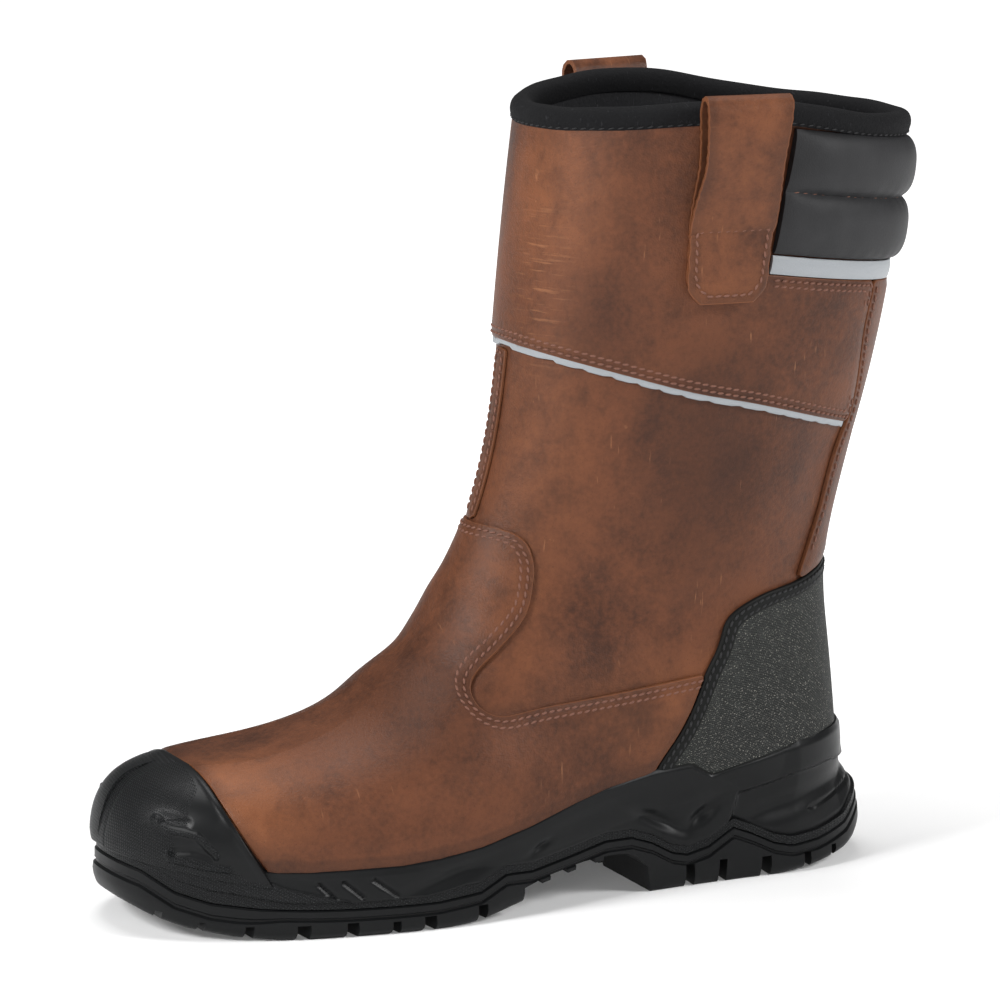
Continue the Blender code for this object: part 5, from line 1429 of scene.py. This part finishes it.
class BOOT_OT_collar(bpy.types.Operator):
    """Builds the pad, the reflective band and the binding round the collar"""
    bl_idname = "boot.collar"
    bl_label = "Collar"

    def execute(self, context):
        top = PAD_TOP + PAD_UNDER
        heights = np.linspace(PAD_LOW, top, 61)
        column = np.arange(2 * WRAP + 1)
        roll = np.where(heights < PAD_SEAM, crown(heights, PAD_LOW, PAD_SEAM, PAD_ROLLS[0]),
                        crown(heights, PAD_SEAM, top, PAD_ROLLS[1]))
        ends = np.minimum(column, column[::-1]) / 10
        roll = 0.0014 + roll[:, None] * (0.35 + 0.65 * np.sin(np.clip(ends, 0, 1) * math.pi / 2))[None, :]
        ripple = np.sin(column * 0.9) * np.sin(column * 0.37 + 1.0)
        near_seam = sum(np.exp(-((heights - seam) / 0.004) ** 2) for seam in (PAD_SEAM, PAD_LOW))
        roll = roll + 0.00022 * near_seam[:, None] * ripple[None, :]
        item = self.strip("collar_pad_cover", heights, roll[..., None], "pad")
        stand_for(item, "soft_black", "collar_pad")

        share = np.linspace(0, 1, 9)
        rise = BAND_THICK * (0.55 + 0.45 * np.sin(np.clip(share, 0.02, 0.98) * math.pi) ** 0.5)
        heights = BAND_LOW + (BAND_HIGH - BAND_LOW) * share
        item = self.strip("reflective_strip", heights, rise[:, None, None], "reflective")
        stand_for(item, "reflective_silver", "reflective_band")

        rim, away, up = rim_ring()
        shell, hook = through(BINDING[:7], 26), BINDING[7:]
        side = np.concatenate([shell, hook])
        uneven = 0.00012 * np.sin(np.arange(len(rim)) * 0.35)[:, None]
        loop = np.array([rim + away * (a + uneven * (a > 0)) + up * (h + uneven) for a, h in side])
        index = np.arange(loop.shape[0] * loop.shape[1]).reshape(loop.shape[:2])
        faces = grid_faces(index, True, round_rows=True)
        item = piece("binding_suede", loop.reshape(-1, 3), faces, finish("suede"))
        stand_for(item, "suede_binding", "collar_binding")
        return {"FINISHED"}

    def strip(self, name, heights, rise, look):
        """A closed strip round the back of the leg that stands out by its rise."""
        rows = wrapped(heights)
        out = normals(rows, closed=False)
        rows = rows + SHIFT
        return walled(name, rows + out * (2 * GAP + rise), rows + out * 2 * GAP, finish(look), closed=False)


def rim_height(y):
    """Side-view height of the leather rim."""
    rim = FRAME_SKIN[-1, :FRAME_COLUMNS + 1]
    return np.interp(y, rim[:, 1], rim[:, 2])


def beside_leg(side, y, above_rim, away):
    """A point beside the leg: a height above the rim line, and a distance out from the leather."""
    middle_y = LOOP_Y[side] + above_rim * UP_LEG[0]
    z = float(rim_height(LOOP_Y[side])) + above_rim * UP_LEG[1]
    flat = np.clip((above_rim - LOOP_HOLE[0][0]) / (LOOP_HOLE[2][0] - LOOP_HOLE[0][0]), 0, 1)
    step = 0.004

    def on_leather(at):
        slope = float(half_width(at + step, z, side) - half_width(at - step, z, side)) / (2 * step)
        return float(half_width(at, z, side)), slope

    width, slope = on_leather(middle_y)
    own_width, own_slope = on_leather(middle_y + y)
    width = own_width + (width + slope * y - own_width) * flat
    slope = own_slope + (slope - own_slope) * flat
    out = np.array([1.0, -slope]) / math.hypot(1.0, slope)
    x = float(centre_x(middle_y)) + side * (width + away * out[0])
    return np.array((x, middle_y + y + away * out[1], z)) + SHIFT


def loop_sections():
    """Outline and gap of the folded strap, (height above the rim, distance out), finely spaced."""
    inner = [(h, a) for h, a, _ in LOOP_HOLE[1:-1]]
    outer = [(h, b) for h, _, b in LOOP_HOLE[-2:0:-1]]
    crown = (LOOP_HOLE[-1][0], LOOP_HOLE[-1][1])
    gap = through([LOOP_HOLE[0][:2]] + inner + [crown] + outer + [LOOP_HOLE[0][:2]], 56)[:-1]
    way = np.roll(gap, -1, 0) - np.roll(gap, 1, 0)
    way[0] = gap[1] - gap[-1]
    out = np.stack([-way[:, 1], way[:, 0]], 1)
    out /= np.linalg.norm(out, axis=1, keepdims=True)
    return gap, gap - out * LOOP_STRAP


def loop_width(h):
    """Width of the strap at a height above the rim, its lower corners cut off."""
    rise = np.clip((h - LOOP_FOOT) / (LOOP_HOLE[-1][0] - LOOP_FOOT), 0, 1)
    corner = np.clip((LOOP_FOOT + 0.0055 - h) / 0.0055, 0, 1)
    return LOOP_WIDE_LOW + (LOOP_WIDE_TOP - LOOP_WIDE_LOW) * rise - 0.0090 * corner


class BOOT_OT_loops(bpy.types.Operator):
    """Builds the two folded pull loops"""
    bl_idname = "boot.loops"
    bl_label = "Pull loops"

    def execute(self, context):
        gap, shell = loop_sections()
        for name, side in (("lateral", 1), ("medial", -1)):
            body = self.ring_piece(f"loop_strap_{name}", side, np.linspace(-0.5, 0.5, 21), gap, shell)
            stand_for(body, "leather_strap", f"pull_loop_{name}")
            foot = self.patch_piece(f"loop_patch_{name}", side, np.linspace(-0.5, 0.5, 27),
                                    shell[:, 0].min() + 0.004)
            stand_for(foot, "leather_strap")
        return {"FINISHED"}

    def ring_piece(self, name, side, share, gap, shell):
        """The open part of the loop: a thick ring carried across the strap's width."""
        both = np.concatenate([shell, gap])
        verts, inner = [], []
        for s in share:
            for h, away in both:
                wide = loop_width(h)
                wave = 0.0005 * math.sin(h * 140 + 1.0) + 0.00015 * math.sin(h * 1900)
                verts.append(beside_leg(side, s * wide + wave * (1 if s > 0 else -1), h, away))
                inner.append(wide * (0.5 - abs(s)))
        index = np.arange(len(verts)).reshape(len(share), 2, -1)
        faces = grid_faces(index[:, 0], True) + grid_faces(index[-1], True)
        faces += [f[::-1] for f in grid_faces(index[:, 1], True) + grid_faces(index[0], True)]
        if side < 0:
            faces = [f[::-1] for f in faces]
        return piece(name, verts, faces, finish("strap"), {"inner": inner}, sharp=35)

    def patch_piece(self, name, side, share, top):
        """The sewn foot of the loop: two layers of strap, its lower corners cut off."""
        heights = np.linspace(LOOP_FOOT, top, 34)
        layers = []
        for layer in (LOOP_SEAT - 0.0028, LOOP_SEAT + 2 * LOOP_STRAP):
            rows = []
            for h in heights:
                edge = 0.0004 * math.sin(h * 900)
                rows.append([beside_leg(side, s * (loop_width(h) + edge), h,
                                        layer - (0.0005 if abs(s) > 0.49 and layer > LOOP_SEAT else 0))
                             for s in share])
            layers.append(rows)
        inner, outer = np.array(layers)
        near = np.minimum((0.5 - np.abs(share))[None, :] * loop_width(heights)[:, None],
                          (heights - LOOP_FOOT)[:, None] + np.zeros_like(share)[None, :])
        if side < 0:
            outer, inner, near = outer[:, ::-1], inner[:, ::-1], near[:, ::-1]
        return walled(name, outer, inner, finish("strap"), closed=False, flags={"inner": near})


def stitch_tree():
    """Stitches along lines: a small capsule on every step, turned along the line and off the surface."""
    name = "stitch_row"
    if name in bpy.data.node_groups:
        return bpy.data.node_groups[name]
    tree = bpy.data.node_groups.new(name, "GeometryNodeTree")
    face = tree.interface
    face.new_socket("Geometry", in_out="INPUT", socket_type="NodeSocketGeometry")
    for label, value in (("Pitch", 0.0029), ("Length", 0.0023), ("Thread", 0.0008), ("Slant", 0.0)):
        face.new_socket(label, in_out="INPUT", socket_type="NodeSocketFloat").default_value = value
    face.new_socket("Finish", in_out="INPUT", socket_type="NodeSocketMaterial")
    face.new_socket("Geometry", in_out="OUTPUT", socket_type="NodeSocketGeometry")

    def add(kind, settings=None, **links):
        node = tree.nodes.new(kind)
        for label, value in (settings or {}).items():
            setattr(node, label, value)
        for label, value in links.items():
            socket = node.inputs[label.replace("_", " ")]
            if isinstance(value, bpy.types.NodeSocket):
                tree.links.new(value, socket)
            else:
                socket.default_value = value
        return node

    given = add("NodeGroupInput").outputs
    line = add("GeometryNodeMeshToCurve", Mesh=given["Geometry"]).outputs[0]
    line = add("GeometryNodeResampleCurve", {"mode": "LENGTH"}, Curve=line,
               Length=given["Pitch"]).outputs[0]
    ball = add("GeometryNodeMeshUVSphere", Segments=6, Rings=5, Radius=0.5).outputs[0]
    size = add("ShaderNodeCombineXYZ", X=given["Length"], Y=given["Thread"], Z=given["Thread"]).outputs[0]
    ball = add("GeometryNodeTransform", Geometry=ball, Scale=size).outputs[0]
    up = add("GeometryNodeInputNamedAttribute", {"data_type": "FLOAT_VECTOR"}, Name="up").outputs[0]
    along = add("GeometryNodeInputTangent").outputs[0]
    turn = add("FunctionNodeAxesToRotation", {"primary_axis": "X", "secondary_axis": "Z"},
               Primary_Axis=along, Secondary_Axis=up).outputs[0]
    angle = add("ShaderNodeCombineXYZ", Z=given["Slant"]).outputs[0]
    slant = add("FunctionNodeEulerToRotation", Euler=angle).outputs[0]
    turn = add("FunctionNodeRotateRotation", {"rotation_space": "LOCAL"}, Rotation=turn,
               Rotate_By=slant).outputs[0]
    rows = add("GeometryNodeInstanceOnPoints", Points=line, Instance=ball, Rotation=turn).outputs[0]
    solid = add("GeometryNodeRealizeInstances", Geometry=rows).outputs[0]
    done = add("GeometryNodeSetMaterial", Geometry=solid, Material=given["Finish"]).outputs[0]
    tree.links.new(done, add("NodeGroupOutput").inputs[0])
    return tree


def stitched(name, lines, look, slot, **changes):
    """One piece with a stitch on every step of the lines."""
    verts, outs, edges = [], [], []
    for points, out in lines:
        start = len(verts)
        verts += list(points)
        outs += list(out)
        edges += [(start + i, start + i + 1) for i in range(len(points) - 1)]
    mesh = bpy.data.meshes.new(name)
    mesh.from_pydata(np.array(verts).tolist(), edges, [])
    ups = mesh.attributes.new("up", "FLOAT_VECTOR", "POINT")
    ups.data.foreach_set("vector", np.array(outs, float).ravel())
    item = bpy.data.objects.new(name, mesh)
    bpy.context.scene.collection.objects.link(item)
    tree = stitch_tree()
    modifier = item.modifiers.new("stitches", "NODES")
    modifier.node_group = tree
    wanted = {"Pitch": sizes().pitch, "Length": sizes().stitch, "Thread": sizes().thread, "Slant": 0.22}
    wanted.update(changes)
    for socket in tree.interface.items_tree:
        if socket.name in wanted and socket.in_out == "INPUT":
            modifier[socket.identifier] = wanted[socket.name]
        if socket.name == "Finish":
            modifier[socket.identifier] = finish(look)
    solid = bpy.data.meshes.new_from_object(item.evaluated_get(bpy.context.evaluated_depsgraph_get()))
    item.modifiers.clear()
    item.data = solid
    solid.shade_smooth()
    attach(item, "root")
    return item


def kept(lines, test):
    """Parts of lines whose points pass a test, split where they don't."""
    out = []
    for points, ups in lines:
        good = np.array([bool(test(p)) for p in points])
        start = None
        for i, ok in enumerate(list(good) + [False]):
            if ok and start is None:
                start = i
            elif not ok and start is not None:
                if i - start > 3:
                    out.append((points[start:i], ups[start:i]))
                start = None
    return out


class BOOT_OT_stitches(bpy.types.Operator):
    """Sews every seam"""
    bl_idname = "boot.stitches"
    bl_label = "Stitching"

    def execute(self, context):
        grid = surface()
        top = GAP + sizes().layer * 0.93
        shy = SHIFT[1]

        def seam(field, insets, test, lift=top):
            """Lines at insets from a field's edge, where the test holds."""
            return [line for inset in insets for line in kept(contour(grid, field - inset, lift), test)]

        beyond = [(0.1200, 0.0850), (0.1200, 0.0), (-0.2000, 0.0), (-0.2000, 0.1390)]
        vamp = within(grid, through(VAMP_EDGE, 120), beyond)
        rows = seam(vamp, (0.0020, 0.0042), lambda p: p[2] > 0.070 and -0.040 < p[1] - shy < 0.0622)
        stitched("stitches_vamp", rows, "brown_thread", "brown_leather")
        edge = straight(CUFF_EDGE)
        rows = seam(cuff_field(grid), (0.0018, 0.0040), lambda p: p[2] < edge(p[1] - shy) + 0.010
                    or (p[1] - shy > 0.0855 and p[2] > falling(p[1] - shy, BAND_LOW) - 0.010))
        stitched("stitches_cuff", rows, "brown_thread", "brown_leather")
        rows = seam(counter_field(grid), (0.0016, 0.0040), lambda p: p[2] > 0.048)
        stitched("stitches_counter", rows, "black_thread", "coated_fabric")
        rows = seam(back_stay_field(grid), (0.0018,),
                    lambda p: p[2] < falling(p[1] - shy, BAND_LOW) - 0.004 and p[2] > 0.122)
        rows += seam(front_stay_field(grid), (0.0016,), lambda p: 0.142 < p[2] < 0.203,
                     GAP + sizes().layer * 0.66)
        stitched("stitches_stays", rows, "brown_thread", "brown_leather")

        rim, out, up = rim_ring()
        ring = rim + out * 0.0029 - up * 0.0048
        stitched("stitches_binding", [tuple(np.concatenate([part, part[:1]]) for part in (ring, out))],
                 "black_thread", "suede_binding", Pitch=0.0036, Length=0.0026, Thread=0.0006)
        row = wrapped([PAD_SEAM - 0.0006, PAD_SEAM, PAD_SEAM + 0.0006])
        away = normals(row, closed=False)[1]
        line = row[1] + SHIFT + away * (2 * GAP + 0.0018)
        stitched("stitches_pad", [(line[3:-3], away[3:-3])], "brown_thread", "soft_black", Pitch=0.0040,
                 Length=0.0033, Thread=0.0007)

        rows = []
        for side in (1, -1):
            half = [(LOOP_FOOT + 0.0270, 0.43), (LOOP_FOOT + 0.0085, 0.41), (LOOP_FOOT + 0.0030, 0.30)]
            box = half + [(h, -s) for h, s in half[::-1]] + half[:1]
            points, outs = [], []
            for (h0, s0), (h1, s1) in zip(box[:-1], box[1:]):
                for t in np.linspace(0, 1, 12, endpoint=False):
                    h, s = h0 + (h1 - h0) * t, s0 + (s1 - s0) * t
                    place = beside_leg(side, s * loop_width(h), h, LOOP_SEAT + 2 * LOOP_STRAP + 0.0001)
                    outs.append((place - beside_leg(side, s * loop_width(h), h, LOOP_SEAT)) / 0.0033)
                    points.append(place)
            points.append(points[0])
            outs.append(outs[0])
            rows.append((np.array(points), np.array(outs)))
        stitched("stitches_loops", rows, "brown_thread", "leather_strap")
        return {"FINISHED"}


class BOOT_OT_stage(bpy.types.Operator):
    """Sets floor, light and camera"""
    bl_idname = "boot.stage"
    bl_label = "Floor, light and camera"

    def execute(self, context):
        size = 6.0
        corners = [(-size, -size, 0), (size, -size, 0), (size, size, 0), (-size, size, 0)]
        mesh = bpy.data.meshes.new("floor")
        mesh.from_pydata(corners, [], [(0, 1, 2, 3)])
        floor = bpy.data.objects.new("floor", mesh)
        mesh.materials.append(finish("floor"))
        context.scene.collection.objects.link(floor)
        world = bpy.data.worlds.new("studio")
        world.use_nodes = True
        light = world.node_tree.nodes["Background"].inputs
        light["Color"].default_value, light["Strength"].default_value = (1.0, 1.0, 1.0, 1.0), 0.12
        context.scene.world = world
        context.scene.view_settings.view_transform = "Standard"

        azimuth, pitch = math.radians(65), math.radians(11.5)
        distance, focal, aim_height, sensor = 2.0, 5.38, 0.145, 36.0
        back = np.array([math.sin(azimuth) * math.cos(pitch), -math.cos(azimuth) * math.cos(pitch),
                         math.sin(pitch)])
        right = np.array([math.cos(azimuth), math.sin(azimuth), 0.0])
        up = np.cross(back, right)
        aim = np.array([0.0, 0.0, aim_height]) + SHIFT
        lens = bpy.data.cameras.new("camera")
        lens.sensor_width, lens.lens = sensor, sensor * focal
        lens.clip_end = 50
        camera = bpy.data.objects.new("camera", lens)
        turn = Matrix(np.stack([right, up, back], 1).tolist())
        camera.matrix_world = Matrix.Translation((aim + back * distance).tolist()) @ turn.to_4x4()
        context.scene.collection.objects.link(camera)
        context.scene.camera = camera

        lamps = [
            # name, share to the right, share to the camera, share up, distance, size, watts
            ("left_box", -1.0, 0.75, 0.75, 1.5, 0.45, 22.0),
            ("right_box", 1.0, 0.30, 0.60, 1.5, 0.40, 15.0),
            ("top_box", -0.1, -0.25, 1.0, 1.6, 0.9, 17.0),
            ("front_fill", 0.1, 1.0, 0.35, 2.4, 1.0, 10.0),
        ]
        flat_back = np.array([back[0], back[1], 0.0])
        for name, to_right, to_back, to_up, far, wide, power in lamps:
            way = right * to_right + flat_back * to_back + np.array([0, 0, 1.0]) * to_up
            way /= np.linalg.norm(way)
            lamp = bpy.data.lights.new(name, "AREA")
            lamp.shape, lamp.size, lamp.energy = "SQUARE", wide, power
            item = bpy.data.objects.new(name, lamp)
            across = np.cross([0.0, 0.0, 1.0], way)
            across = across / np.linalg.norm(across)
            turn = Matrix(np.stack([across, np.cross(way, across), way], 1).tolist())
            item.matrix_world = Matrix.Translation((aim + way * far).tolist()) @ turn.to_4x4()
            context.scene.collection.objects.link(item)
        return {"FINISHED"}


STEPS = (BOOT_OT_upper, BOOT_OT_overlays, BOOT_OT_toe_cap, BOOT_OT_sole, BOOT_OT_collar, BOOT_OT_loops,
         BOOT_OT_stitches, BOOT_OT_stage)


class BOOT_PT_boot(bpy.types.Panel):
    """Sizes, colours and steps of the boot"""
    bl_idname = "BOOT_PT_boot"
    bl_label = "Rigger boot"
    bl_space_type = "VIEW_3D"
    bl_region_type = "UI"
    bl_category = "Boot"

    def draw(self, context):
        for step in STEPS:
            self.layout.operator(step.bl_idname)
        for group in (context.scene.boot_sizes, context.scene.boot_colours):
            for name in group.bl_rna.properties.keys():
                if name not in ("rna_type", "name"):
                    self.layout.prop(group, name)


CLASSES = (BootSizes, BootColours, *STEPS, BOOT_PT_boot)


def register():
    for item in CLASSES:
        bpy.utils.register_class(item)
    bpy.types.Scene.boot_sizes = PointerProperty(type=BootSizes)
    bpy.types.Scene.boot_colours = PointerProperty(type=BootColours)


def unregister():
    del bpy.types.Scene.boot_sizes
    del bpy.types.Scene.boot_colours
    for item in reversed(CLASSES):
        bpy.utils.unregister_class(item)


def main():
    register()
    for step in STEPS:
        group, name = step.bl_idname.split(".")
        getattr(getattr(bpy.ops, group), name)()


if __name__ == "__main__":
    main()
